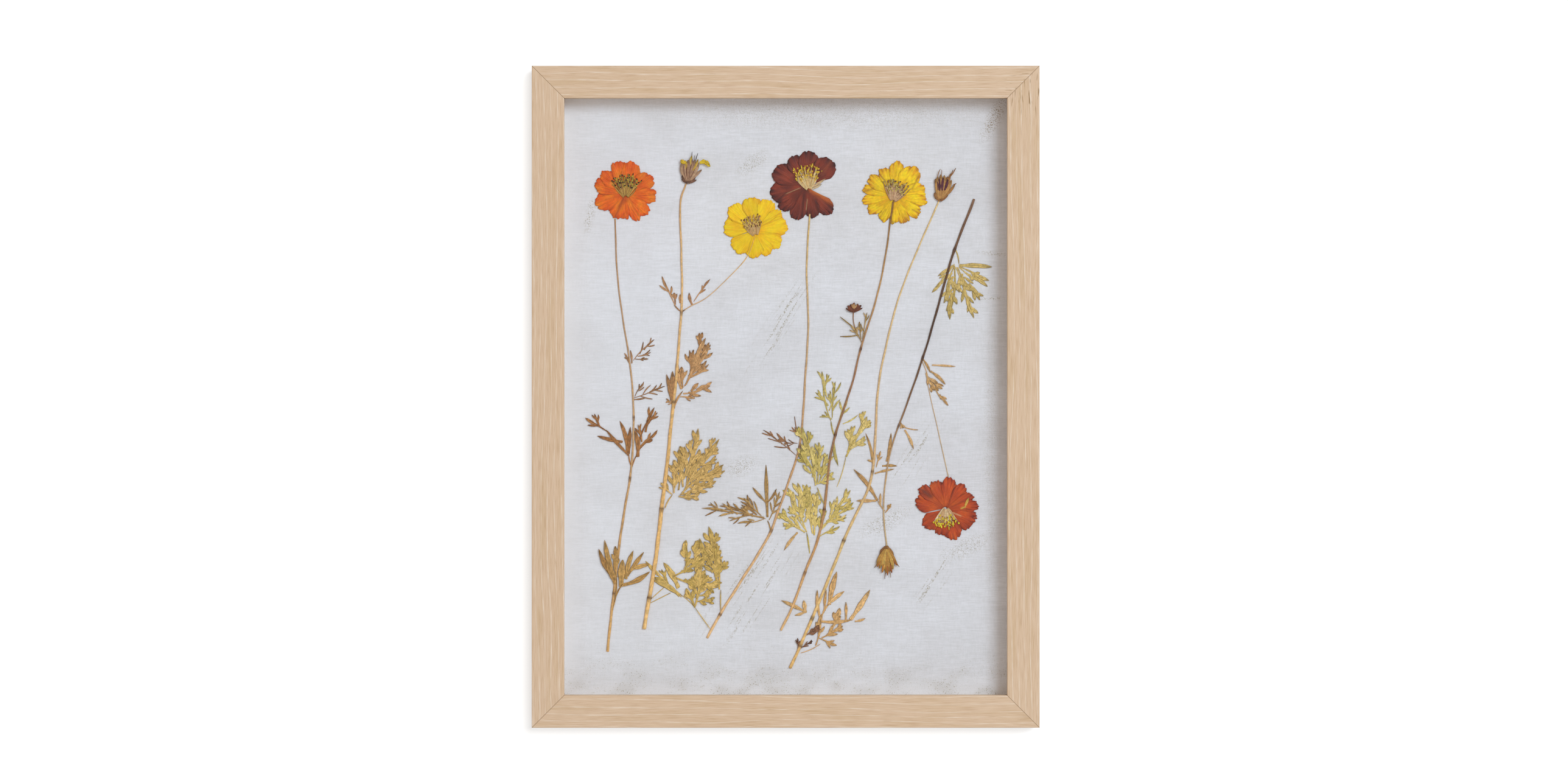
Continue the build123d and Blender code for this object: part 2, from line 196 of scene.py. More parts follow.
def oak_rail(name, grain, seed):
    """Oak with the two things only a rail shows: the mitre's hairline and a few dark checks."""
    material, tree, output, wood, relief, place, moved = limed_oak(
        "limed_oak_" + name, grain, seed, ("#D5B897", "#DBBFA2", "#EBDAC6", "#BA9A72")
    )
    spot = add(tree, "SeparateXYZ", {0: place})
    side = add(tree, "Math", {0: spot.outputs["X"]}, operation="ABSOLUTE")
    end = add(tree, "Math", {0: spot.outputs["Z"]}, operation="ABSOLUTE")
    across = add(tree, "Math", {0: side, 1: end}, operation="SUBTRACT")
    offset = add(tree, "Math", {0: across, 1: half_height - half_width}, operation="ADD")
    gap = add(tree, "Math", {0: offset}, operation="ABSOLUTE")
    hairline = add(
        tree,
        "MapRange",
        {"Value": gap, "From Min": 0.12 * MM, "From Max": 0.42 * MM, "To Min": 0.75, "To Max": 0.0},
    )
    glued = add(tree, "Mix", {0: hairline, 6: wood, 7: linear("#8E6F50")}, data_type="RGBA")
    corner = add(
        tree,
        "VectorMath",
        {0: place, 1: (half_width - 8 * MM, low.y, half_height - 19 * MM)},
        operation="DISTANCE",
    )
    near = add(
        tree,
        "MapRange",
        {"Value": corner.outputs["Value"], "From Min": 4 * MM, "From Max": 21 * MM, "To Min": 1.0, "To Max": 0.0},
    )
    streak = add(
        tree,
        "Mapping",
        {"Vector": moved, "Scale": (150, 600, 900) if grain == "x" else (900, 600, 110)},
    )
    checks = add(tree, "TexNoise", {"Vector": streak, "Scale": 1.0, "Detail": 1.0})
    cracked = add(tree, "ValToRGB", {"Fac": checks.outputs["Fac"]}, stops=[(0.60, 0.0), (0.68, 1.0)])
    marks = add(tree, "Math", {0: cracked, 1: near}, operation="MULTIPLY")
    checked = add(tree, "Mix", {0: marks, 6: glued.outputs[2], 7: linear("#9A7A52")}, data_type="RGBA")
    finish_oak(tree, output, checked.outputs[2], relief)
    return material


for turn, (rail, grain) in enumerate(rail_grain.items()):
    paint(rail, oak_rail(rail, grain, 3.1 + 1.7 * turn))

# Corner nails. Bent strips of rolled steel, driven flush into the back of each mitre. Bare
# mill steel is grey and half dull, with a faint draw direction.


def metal(name, colour, roughness, streak_mm, contrast, bump_mm=0.0):
    """A plated or rolled metal: one tone, broken by fine noise streak_mm long in roughness."""
    material, tree, output = new_material(name)
    place = add(tree, "TexCoord").outputs["Object"]
    length, width = streak_mm
    drawn = add(
        tree,
        "Mapping",
        {"Vector": place, "Scale": (1 / (length * MM), 1 / (width * MM), 1 / (width * MM))},
    )
    noise = add(tree, "TexNoise", {"Vector": drawn, "Scale": 1.0, "Detail": 3.0})
    worn = add(
        tree,
        "MapRange",
        {
            "Value": noise.outputs["Fac"],
            "From Min": 0.3,
            "From Max": 0.7,
            "To Min": max(roughness - contrast, 0.05),
            "To Max": roughness + contrast,
        },
    )
    shade = add(
        tree,
        "MapRange",
        {"Value": noise.outputs["Fac"], "From Min": 0.3, "From Max": 0.7, "To Min": 0.86, "To Max": 1.0},
    )
    toned = add(tree, "Mix", {0: 1.0, 6: linear(colour), 7: shade}, data_type="RGBA", blend_type="MULTIPLY")
    bump = add(tree, "Bump", {"Strength": 0.3, "Distance": bump_mm * MM, "Height": noise.outputs["Fac"]})
    skin = add(
        tree,
        "BsdfPrincipled",
        {"Base Color": toned.outputs[2], "Metallic": 1.0, "Roughness": worn, "Normal": bump},
    )
    tree.links.new(skin.outputs[0], output.inputs[0])
    return material


paint("corner_nails", metal("rolled_mill_steel", "#8E8D8C", 0.42, (4.0, 0.2), 0.1, 0.02))

# Glazing. A 2 mm sheet of coated picture glass, which lets nearly all the light through and
# gives only a weak mirror. Past about 58 degrees from straight ahead the inner face mirrors
# fully in this material, and the pane turns black: a known fault.
material, tree, output = new_material("coated_picture_glass")
place = add(tree, "TexCoord").outputs["Object"]
ripple = add(tree, "TexNoise", {"Vector": place, "Scale": 9.0, "Detail": 0.0})
polish = add(tree, "MapRange", {"Value": ripple.outputs["Fac"], "To Min": 0.02, "To Max": 0.05})
mirror = add(tree, "BsdfGlossy", {"Color": (1.0, 1.0, 1.0, 1.0), "Roughness": polish})
clear = add(tree, "BsdfTransparent", {"Color": linear("#FDFEFE")})
weak = add(tree, "Fresnel", {"IOR": 1.18})  # the coating cuts the mirror of plain glass
pane = add(tree, "MixShader", {0: weak, 1: clear, 2: mirror})
tree.links.new(pane.outputs[0], output.inputs[0])
paint("glazing", material)

# Spacers. Strips of the same oak, faced on the side that shows, which hold the glass off the
# flowers. Those at the top and bottom run right across, and the side ones fit between them.
for turn, (spacer, grain) in enumerate(
    {"spacer_top": "x", "spacer_bottom": "x", "spacer_left": "z", "spacer_right": "z"}.items()
):
    material, tree, output, wood, relief = limed_oak(
        "oak_facing_" + spacer, grain, 11.3 + turn, ("#D0B696", "#DCC4A8", "#EBD9C4", "#B59878")
    )[:5]
    finish_oak(tree, output, wood, relief)
    paint(spacer, material)

# Linen ground. Fine plain-weave linen under thin white gesso, cut to the board and laid on it.
# The gesso fills the weave unevenly: threads show as faint ridges, and where it was rubbed or
# sanded thin the tan cloth shows through in dots, slanting scratches and along the edges.
linen_low, linen_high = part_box("linen")
ground = linen_low.y


def make_piece(name, points, quads, triangles=(), values=None, tints=None):
    """A mesh object from whole arrays: points in metres, faces by index, one value a point.

    values are numbers that follow the surface, such as how far along a leaf a point lies;
    tints are linear colours, one a point.
    """
    mesh = bpy.data.meshes.new(name)
    faces = np.asarray(quads).reshape(-1, 4).tolist() + np.asarray(triangles, int).reshape(-1, 3).tolist()
    mesh.from_pydata(np.asarray(points, float).tolist(), [], faces)
    for key, value in (values or {}).items():
        mesh.attributes.new(key, "FLOAT", "POINT").data.foreach_set("value", np.float32(value).ravel())
    if tints is not None:
        colours = np.ones((len(points), 4), np.float32)
        colours[:, :3] = tints
        mesh.attributes.new("tint", "FLOAT_COLOR", "POINT").data.foreach_set("color", colours.ravel())
    mesh.polygons.foreach_set("use_smooth", np.ones(len(mesh.polygons), bool))
    mesh.validate()
    piece = bpy.data.objects.new(name, mesh)
    bpy.context.scene.collection.objects.link(piece)
    return piece


def grid_faces(rows, columns):
    """Quads of a grid whose points run row by row."""
    corner = (np.arange(rows - 1)[:, None] * columns + np.arange(columns - 1)).ravel()
    return np.stack([corner, corner + 1, corner + columns + 1, corner + columns], 1)


# The front is a grid with the slight unevenness of cloth on board: three slow waves that sum
# to under a tenth of a millimetre.
grid_x, grid_z = np.meshgrid(
    np.linspace(linen_low.x, linen_high.x, 191), np.linspace(linen_low.z, linen_high.z, 255)
)
wave = (
    np.sin(grid_x / (31 * MM) + 1.0) * np.sin(grid_z / (43 * MM))
    + 0.6 * np.sin(grid_x / (12 * MM) + grid_z / (19 * MM))
    + 0.4 * np.sin(grid_z / (7 * MM) - grid_x / (23 * MM))
)
front = np.stack([grid_x, ground + 0.035 * MM * (1 + wave / 2), grid_z], -1).reshape(-1, 3)
cloth = make_piece("gessoed_linen", front, grid_faces(*grid_x.shape))
weight = cloth.modifiers.new("cloth_thickness", "SOLIDIFY")
weight.thickness = 0.36 * MM
weight.offset = -1.0

material, tree, output = new_material("gessoed_linen")
place = add(tree, "TexCoord").outputs["Object"]


def threads(size_mm, detail, **settings):
    """Noise drawn out to this size along X, Y and Z, like the run of a thread."""
    stretched = add(tree, "Mapping", {"Vector": place, "Scale": tuple(1 / (s * MM) for s in size_mm)})
    return add(
        tree,
        "TexNoise",
        {"Vector": stretched, "Scale": 1.0, "Detail": detail, **settings},
    ).outputs["Fac"]


def rubbed(centre, slant, half_length, half_width):
    """One at the middle of an oval place on the cloth, fading to nothing at its edge."""
    away = add(
        tree, "VectorMath", {0: place, 1: (centre[0] * MM, ground, centre[1] * MM)}, operation="SUBTRACT"
    )
    turned = add(
        tree,
        "VectorRotate",
        {"Vector": away, "Axis": (0, 1, 0), "Angle": math.radians(slant)},
        rotation_type="AXIS_ANGLE",
    )
    shared = add(
        tree,
        "VectorMath",
        {0: turned, 1: (1 / (half_length * MM), 0, 1 / (half_width * MM))},
        operation="MULTIPLY",
    )
    reach = add(tree, "VectorMath", {0: shared}, operation="LENGTH")
    return add(
        tree,
        "MapRange",
        {"Value": reach.outputs["Value"], "From Min": 0.35, "From Max": 1.0, "To Min": 1.0, "To Max": 0.0},
    ).outputs[0]


def larger(sockets):
    """The largest of several values."""
    result = sockets[0]
    for socket in sockets[1:]:
        result = add(tree, "Math", {0: result, 1: socket}, operation="MAXIMUM").outputs[0]
    return result


def times(*sockets):
    """The product of several values."""
    result = sockets[0]
    for socket in sockets[1:]:
        result = add(tree, "Math", {0: result, 1: socket}, operation="MULTIPLY").outputs[0]
    return result


# Threads are 0.5 mm apart in the real cloth; they are drawn about 0.8 mm apart so they show.
weft = threads((7, 30, 0.55), 2.0, Roughness=0.6)
warp = threads((0.55, 30, 4), 2.0, Roughness=0.6)
woven = add(tree, "Mix", {0: 0.38, 2: weft, 3: warp})
gesso = add(
    tree,
    "ValToRGB",
    {"Fac": woven},
    stops=[(0.34, "#E0DCDE"), (0.50, "#E8E4E7"), (0.64, "#EFEBEF")],
)
clouds = add(
    tree,
    "ValToRGB",
    {"Fac": threads((38, 38, 30), 2.0)},
    stops=[(0.35, "#F8F7F6"), (0.62, "#FFFFFF")],
)
clouded = add(tree, "Mix", {0: 1.0, 6: gesso, 7: clouds}, data_type="RGBA", blend_type="MULTIPLY")
spot = add(tree, "SeparateXYZ", {0: place})


def fading(axis, start_mm, end_mm):
    """One at a distance from the cloth's left or lower edge, falling to nothing at another."""
    edge = linen_low.x if axis == "X" else linen_low.z
    return add(
        tree,
        "MapRange",
        {
            "Value": spot.outputs[axis],
            "From Min": edge + start_mm * MM,
            "From Max": edge + end_mm * MM,
            "To Min": 1.0,
            "To Max": 0.0,
        },
    ).outputs[0]


# The gesso is painted whiter along the left and lower edges and a little across the left side: painted light,
# standing in for the light the lit rails throw back onto the cloth.
painted_bounce_light = larger(
    [times(fading("X", 4, 24), 0.75), times(fading("X", 6, 120), 0.30), times(fading("Z", 4, 20), 0.75)]
)
bounce_lit_gesso = add(tree, "Mix", {0: painted_bounce_light, 6: clouded.outputs[2], 7: linear("#FBF9FD")}, data_type="RGBA")
grain = add(tree, "ValToRGB", {"Fac": threads((0.5, 2, 0.45), 1.0)}, stops=[(0.56, 0.0), (0.63, 1.0)])
pits = add(tree, "ValToRGB", {"Fac": threads((0.6, 2, 0.55), 0.0)}, stops=[(0.70, 0.0), (0.76, 1.0)])
scratch_turn = add(
    tree,
    "VectorRotate",
    {"Vector": place, "Axis": (0, 1, 0), "Angle": math.radians(57)},
    rotation_type="AXIS_ANGLE",
)
scratch_run = add(
    tree,
    "Mapping",
    {"Vector": scratch_turn, "Scale": (1 / (34 * MM), 1 / (20 * MM), 1 / (1.5 * MM))},
)
scratch_noise = add(tree, "TexNoise", {"Vector": scratch_run, "Scale": 1.0, "Detail": 1.0})
scratches = add(tree, "ValToRGB", {"Fac": scratch_noise.outputs["Fac"]}, stops=[(0.57, 0.0), (0.64, 1.0)])
broken = add(tree, "ValToRGB", {"Fac": threads((0.8, 2, 0.7), 1.0)}, stops=[(0.48, 0.0), (0.60, 1.0)])
scratched = times(
    scratches.outputs[0],
    broken.outputs[0],
    larger(
        [
            rubbed((-24, -130), 52, 58, 22),
            rubbed((-4, 49), 58, 50, 10),
            rubbed((84, -42), 58, 45, 9),
            rubbed((100, -120), 58, 30, 10),
        ]
    ),
)
dotted = times(
    grain.outputs[0],
    larger(
        [
            rubbed((-22, 155), 35, 15, 7),
            rubbed((-29, -46), 20, 15, 8),
            rubbed((66, -83), 28, 24, 8),
            rubbed((120, -100), 25, 22, 8),
            rubbed((-130, 120), 78, 16, 4),
            times(rubbed((136, -40), 90, 120, 7), 0.4),
            rubbed((136, 65), 2, 12, 1.6),
            rubbed((137, 95), 175, 14, 2.2),
            times(rubbed((30, 188), 0, 150, 14), 0.5),
        ]
    ),
)
stained = times(grain.outputs[0], rubbed((138, 184), 62, 21, 6))
foot = fading("Z", 8, 46)
patches = add(tree, "ValToRGB", {"Fac": threads((19, 5, 12), 1.0)}, stops=[(0.40, 0.15), (0.62, 1.0)])
faded = times(foot, patches.outputs[0])
dusty = times(faded, faded, woven.outputs[0])
freckled = times(pits.outputs[0], larger([faded, 0.10]))
bare = larger([times(scratched, 0.75), times(dotted, 0.72), times(freckled, 0.9), times(dusty, 0.42)])
washed = add(tree, "Mix", {0: bare, 6: bounce_lit_gesso.outputs[2], 7: linear("#A99B84")}, data_type="RGBA")
shown = add(
    tree,
    "Mix",
    {0: times(stained, 0.8), 6: washed.outputs[2], 7: linear("#8E7040")},
    data_type="RGBA",
)
relief = add(tree, "Bump", {"Strength": 0.35, "Distance": 0.05 * MM, "Height": woven})
pitted = add(
    tree,
    "Bump",
    {"Strength": 0.4, "Distance": 0.06 * MM, "Height": bare, "Normal": relief},
    invert=True,
)
skin = add(
    tree,
    "BsdfPrincipled",
    {"Base Color": shown.outputs[2], "Roughness": 0.85, "IOR": 1.45, "Normal": pitted},
)
tree.links.new(skin.outputs[0], output.inputs[0])
cloth.data.materials.append(material)
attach(cloth, "frame")
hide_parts("linen")

# Boards. Cotton mount board under the linen, white paper-faced foam behind it to fill the
# rabbet, and a smooth tempered hardboard back, brown with darker fibre flecks.


def board(name, tone, fleck, fleck_mm, roughness):
    """Pulp board: one tone with flecks of fibre and a slight felted relief."""
    material, tree, output = new_material(name)
    place = add(tree, "TexCoord").outputs["Object"]
    long_way, short_way = fleck_mm
    pulp = add(
        tree,
        "Mapping",
        {"Vector": place, "Scale": (1 / (long_way * MM), 1 / (short_way * MM), 1 / (short_way * MM))},
    )
    fibre = add(tree, "TexNoise", {"Vector": pulp, "Scale": 1.0, "Detail": 4.0, "Roughness": 0.7})
    cloud = add(tree, "TexNoise", {"Vector": place, "Scale": 14.0, "Detail": 2.0})
    toned = add(
        tree,
        "ValToRGB",
        {"Fac": fibre.outputs["Fac"]},
        stops=[(0.36, fleck), (0.50, tone), (0.70, tone)],
    )
    shade = add(
        tree,
        "MapRange",
        {"Value": cloud.outputs["Fac"], "From Min": 0.3, "From Max": 0.7, "To Min": 0.90, "To Max": 1.0},
    )
    clouded = add(tree, "Mix", {0: 1.0, 6: toned, 7: shade}, data_type="RGBA", blend_type="MULTIPLY")
    felt = add(tree, "Bump", {"Strength": 0.25, "Distance": 0.08 * MM, "Height": fibre.outputs["Fac"]})
    skin = add(
        tree,
        "BsdfPrincipled",
        {"Base Color": clouded.outputs[2], "Roughness": roughness, "Normal": felt},
    )
    tree.links.new(skin.outputs[0], output.inputs[0])
    return material


paint("mount_board", board("cotton_mount_board", "#E9E6DD", "#D8D2C4", (1.4, 0.5), 0.9))
paint("filler_board", board("paper_faced_foam", "#F0F0EE", "#E2E2DF", (0.9, 0.6), 0.8))
paint("back_board", board("tempered_hardboard", "#7A5334", "#4E3320", (1.2, 0.45), 0.48))

# Pressed stems. Dried flower stalks, flattened in the press, straw to brown, with dark knots
# where leaves grew. Each is stuck down flat on the linen, over its own leaves.


def smooth_run(points, widths, step):
    """Evenly spaced points on a smooth line through the given ones, with their widths.

    A Catmull-Rom spline: between two points the line is the cubic that passes through both
    with slopes half the step between their neighbours. It is then resampled by its length.
    """
    points = np.asarray(points, float)
    ends = np.vstack([2 * points[0] - points[1], points, 2 * points[-1] - points[-2]])
    t = np.linspace(0, 1, 12, endpoint=False)[None, :, None]
    p0, p1, p2, p3 = (ends[i : len(ends) - 3 + i, None] for i in range(4))
    curve = 0.5 * (
        2 * p1 + (p2 - p0) * t + (2 * p0 - 5 * p1 + 4 * p2 - p3) * t**2 + (3 * p1 - p0 - 3 * p2 + p3) * t**3
    )
    curve = np.vstack([curve.reshape(-1, 2), points[-1]])
    length = np.concatenate([[0], np.cumsum(np.linalg.norm(np.diff(curve, axis=0), axis=1))])
    at = np.linspace(0, length[-1], max(int(length[-1] / step), 6))
    line = np.stack([np.interp(at, length, curve[:, k]) for k in (0, 1)], 1)
    width = np.interp(at / length[-1], np.linspace(0, 1, len(widths)), widths)
    return line, width, at


def close_tubes(rings, starts, ends):
    """Faces and points of closed tubes. rings is (tube, ring, corner, 3); the poles are (tube, 3).

    Each ring joins the next with quads, and a fan of triangles closes each end at its pole.
    """
    tubes, count, corners = rings.shape[:3]
    size = count * corners + 2
    points = np.concatenate([rings.reshape(tubes, -1, 3), starts[:, None], ends[:, None]], 1)
    ring, corner = np.meshgrid(np.arange(count - 1), np.arange(corners), indexing="ij")
    here = (ring * corners + corner).ravel()
    beside = (ring * corners + (corner + 1) % corners).ravel()
    quads = np.stack([here, beside, beside + corners, here + corners], 1)
    rim, on = np.arange(corners), (np.arange(corners) + 1) % corners
    last = (count - 1) * corners
    fans = np.vstack(
        [
            np.stack([on, rim, np.full(corners, size - 2)], 1),
            np.stack([last + rim, last + on, np.full(corners, size - 1)], 1),
        ]
    )
    shift = np.arange(tubes)[:, None, None] * size
    return points.reshape(-1, 3), (quads + shift).reshape(-1, 4), (fans + shift).reshape(-1, 3)


def stalk(points, widths, colours, knots=(), lift=0.0, seed=0):
    """One closed stem: a flattened oval carried along the smooth run of points, in millimetres.

    The width swells by a third at each knot, by a bell curve, and wanders with a few slow
    waves. The colour runs through the given ones and turns purple-brown at the knots.
    """
    line, width, at = smooth_run(points, widths, 1.6)
    rng = np.random.default_rng(seed)
    phase = rng.uniform(0, 2 * np.pi, 4)
    tangent = np.gradient(line, axis=0)
    tangent /= np.linalg.norm(tangent, axis=1)[:, None]
    normal = np.stack([-tangent[:, 1], tangent[:, 0]], 1)
    sway = 0.10 * np.sin(at / 9 + phase[0]) + 0.06 * np.sin(at / 3.7 + phase[1])
    line = line + normal * (sway * np.minimum(width, 1.2))[:, None]
    bell = sum((np.exp(-(((at - at[-1] * k) / 1.3) ** 2)) for k in knots), np.zeros_like(at))
    half = width / 2 * (1 + 0.35 * np.minimum(bell, 1) + 0.07 * np.sin(at / 2.3 + phase[2]))
    corners = 10
    around = np.arange(corners) / corners * 2 * np.pi
    across = np.cos(around)[None] * half[:, None]
    depth = 0.21 * width
    out = lift + 0.06 + depth[:, None] * (1 + np.sin(around)[None] * (1 - 0.18 * np.cos(3 * around)[None]))
    spot = line[:, None] + normal[:, None] * across[..., None]
    rings = np.stack([spot[..., 0], -out, spot[..., 1]], -1)
    middle = lift + 0.06 + depth
    tips = [np.array([line[k, 0], -middle[k], line[k, 1]]) for k in (0, -1)]
    tips[0][[0, 2]] -= tangent[0] * 0.2
    tips[1][[0, 2]] += tangent[-1] * 0.2
    rgb = np.array([linear(c)[:3] for c in colours])
    spread = np.linspace(0, 1, len(rgb))
    tone = np.stack([np.interp(at / at[-1], spread, rgb[:, k]) for k in range(3)], 1)
    dark = np.minimum(0.85 * bell, 0.85)[:, None]
    tone = tone * (1 - dark) + np.array(linear("#4A2A20")[:3]) * dark
    tint = np.repeat(tone, corners, 0)
    tint = np.vstack([tint, tone[0], tone[-1]])
    run = np.concatenate([np.repeat(at, corners), [0, at[-1]]])
    turn = np.concatenate([np.tile(np.cos(around), len(at)), [0, 0]])
    return rings[None], tips[0][None], tips[1][None], tint, run, turn


def on_ground(points):
    """Moves points given in millimetres in front of the linen to their place in metres."""
    return points * MM + np.array([0, ground, 0])


def gather(parts):
    """Joins the points, faces and values of several closed shapes into one set."""
    points, quads, triangles, values, tints, start = [], [], [], [], [], 0
    for rings, starts, ends, tint, run, turn in parts:
        p, q, t = close_tubes(rings, starts, ends)
        points.append(p)
        quads.append(q + start)
        triangles.append(t + start)
        values.append(np.stack([run, turn], 1))
        tints.append(tint)
        start += len(p)
    values = np.vstack(values)
    return (
        on_ground(np.vstack(points)),
        np.vstack(quads),
        np.vstack(triangles),
        {"run": values[:, 0], "turn": values[:, 1]},
        np.vstack(tints),
    )


def dried_plant(name, streak, roughness, contrast, relief):
    """Dried plant skin: its own tint, broken by streaks that follow the stem or the leaf.

    streak is how many millimetres long and how many shares of the width wide a streak is.
    The tint, and how far along and across a point lies, come from the piece's own values.
    """
    material, tree, output = new_material(name)
    tint = add(tree, "Attribute", attribute_name="tint")
    run = add(tree, "Attribute", attribute_name="run")
    turn = add(tree, "Attribute", attribute_name="turn")
    place = add(tree, "TexCoord").outputs["Object"]
    along = add(tree, "Math", {0: run.outputs["Fac"], 1: 1 / streak[0]}, operation="MULTIPLY")
    across = add(tree, "Math", {0: turn.outputs["Fac"], 1: 1 / streak[1]}, operation="MULTIPLY")
    near = add(tree, "VectorMath", {0: place, 1: (40.0, 0.0, 40.0)}, operation="MULTIPLY")
    follow = add(tree, "CombineXYZ", {0: along, 1: across})
    spot = add(tree, "VectorMath", {0: near, 1: follow}, operation="ADD")
    streaks = add(tree, "TexNoise", {"Vector": spot, "Scale": 1.0, "Detail": 3.0})
    blotches = add(tree, "TexNoise", {"Vector": place, "Scale": 650.0, "Detail": 2.0})
    both = add(tree, "Math", {0: streaks.outputs["Fac"], 1: blotches.outputs["Fac"]}, operation="ADD")
    shade = add(
        tree,
        "MapRange",
        {
            "Value": both,
            "From Min": 0.72,
            "From Max": 1.28,
            "To Min": 1 - contrast * 0.8,
            "To Max": 1 + contrast * 0.8,
        },
    )
    # The colour is darker towards the edges across a stem or lobe: partly the darker dried edge, partly painted
    # shade where the surface turns away from the light.
    edge = add(tree, "Math", {0: turn.outputs["Fac"]}, operation="ABSOLUTE")
    edge_shade_and_drying = add(
        tree,
        "MapRange",
        {"Value": edge, "From Min": 0.55, "From Max": 1.0, "To Min": 1.0, "To Max": 0.86},
    )
    streaks_and_edge_shade = add(tree, "Math", {0: shade, 1: edge_shade_and_drying}, operation="MULTIPLY")
    toned = add(
        tree,
        "Mix",
        {0: 1.0, 6: tint.outputs["Color"], 7: streaks_and_edge_shade},
        data_type="RGBA",
        blend_type="MULTIPLY",
    )
    ridges = add(tree, "Bump", {"Strength": 0.5, "Distance": relief * MM, "Height": both})
    skin = add(
        tree,
        "BsdfPrincipled",
        {"Base Color": toned.outputs[2], "Roughness": roughness, "IOR": 1.4, "Normal": ridges},
    )
    tree.links.new(skin.outputs[0], output.inputs[0])
    return material


def finish_piece(piece, material, stands_for=None):
    """Gives a new piece its material and its body, and hides the part that it stands for."""
    piece.data.materials.append(material)
    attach(piece, "frame")
    if stands_for:
        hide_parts(stands_for)


straw = dried_plant("dried_straw_stem", (3.0, 0.7), 0.55, 0.30, 0.08)
stems = {
    "orange": [
        (
            [
                (-113, 118), (-112, 86), (-108, 52), (-103, 20), (-101, -6), (-102, -45), (-108, -82),
                (-114, -130), (-118, -169),
            ],
            (0.9, 0.9, 1.1, 1.3, 1.6, 1.7),
            ("#BB8E66", "#C39A74", "#D7AA7A", "#CF9E66", "#E6B270"),
            (0.46, 0.60, 0.865),
            0.2,
        ),
    ],
    "yellow": [
        (
            [
                (-66, 141), (-70, 127), (-69, 95), (-69, 60), (-72, 20), (-77, -30), (-83, -82),
                (-88, -120), (-94, -154),
            ],
            (1.1, 1.2, 1.5, 1.9, 2.3, 2.5, 2.4),
            ("#D7A874", "#E6B880", "#EDBA76", "#F1BC74", "#F5C480"),
            (0.29, 0.49, 0.73, 0.93),
            0.4,
        ),
        (
            [(-69, 56), (-63, 60), (-52, 66), (-40, 77), (-26, 92), (-20, 107)],
            (0.7, 0.55, 0.5, 0.55),
            ("#DEB080", "#E2B888", "#F1B840"),
            (0.02,),
            0.7,
        ),
    ],
    "maroon": [
        (
            [
                (16, 121), (14, 88), (15, 50), (13, 10), (10, -28), (7, -42), (-4, -73), (-12, -94),
                (-32, -126), (-46, -149), (-52, -160),
            ],
            (1.1, 1.1, 1.2, 1.3, 1.5, 1.7, 1.7),
            ("#E2BC7A", "#D3AE84", "#C9986A", "#E2B280", "#F1C088"),
            (0.52, 0.72, 0.94),
            0.2,
        ),
    ],
    "golden": [
        (
            [
                (71, 129), (67, 98), (60, 64), (50, 33), (44, 8), (33, -25), (29, -45), (26, -72),
                (21, -96), (12, -119), (5, -138), (-3, -155),
            ],
            (1.0, 1.0, 1.2, 1.3, 1.6, 1.6, 1.5),
            ("#885F30", "#C59662", "#A47452", "#A1744E", "#CF9A64", "#EBBA80"),
            (0.34, 0.54, 0.71, 0.86),
            0.5,
        ),
        ([(51, 35), (47, 43), (45, 50), (45, 57)], (0.7, 0.6, 0.7), ("#9F7C4A", "#9F745C"), (), 0.5),
    ],
    "seedhead": [
        (
            [
                (102, 130), (86, 94), (74, 62), (67, 35), (61, 2), (59, -38), (55, -60), (42, -88),
                (30, -117), (19, -144), (3, -180),
            ],
            (1.0, 1.0, 1.2, 1.5, 1.7, 1.9, 1.9),
            ("#EBC88C", "#E4C08A", "#DEB484", "#E7C080", "#EFBC74"),
            (0.57, 0.72, 0.89, 0.95),
            0.3,
        ),
    ],
    "russet": [
        (
            [
                (125, 131), (113, 100), (103, 67), (95, 38), (88, 17), (79, -9), (71, -31), (67, -50),
                (65, -75), (67, -100),
            ],
            (1.6, 1.5, 1.35, 1.2, 1.0, 0.9, 0.85),
            ("#886248", "#684730", "#513728", "#8C6648", "#CDA578", "#D5B586"),
            (0.15, 0.46, 0.66),
            0.5,
        ),
        (
            [(90, 25), (94, 15), (95, 5), (101, -22), (108, -53)],
            (0.45, 0.45, 0.5),
            ("#DEB080", "#D7B48C", "#DBB888"),
            (),
            0.3,
        ),
    ],
}
for seed, (name, runs) in enumerate(stems.items()):
    shapes = [
        stalk(points, widths, colours, knots, lift, 100 + 10 * seed + k)
        for k, (points, widths, colours, knots, lift) in enumerate(runs)
    ]
    finish_piece(make_piece(name + "_stalk", *gather(shapes)), straw, name + "_stem")

# Leaves. Feathery leaves cut into narrow lobes, pressed flat and dried from yellow-green to
# brown, each lobe with a fold along its midrib and a slightly lifted tip.


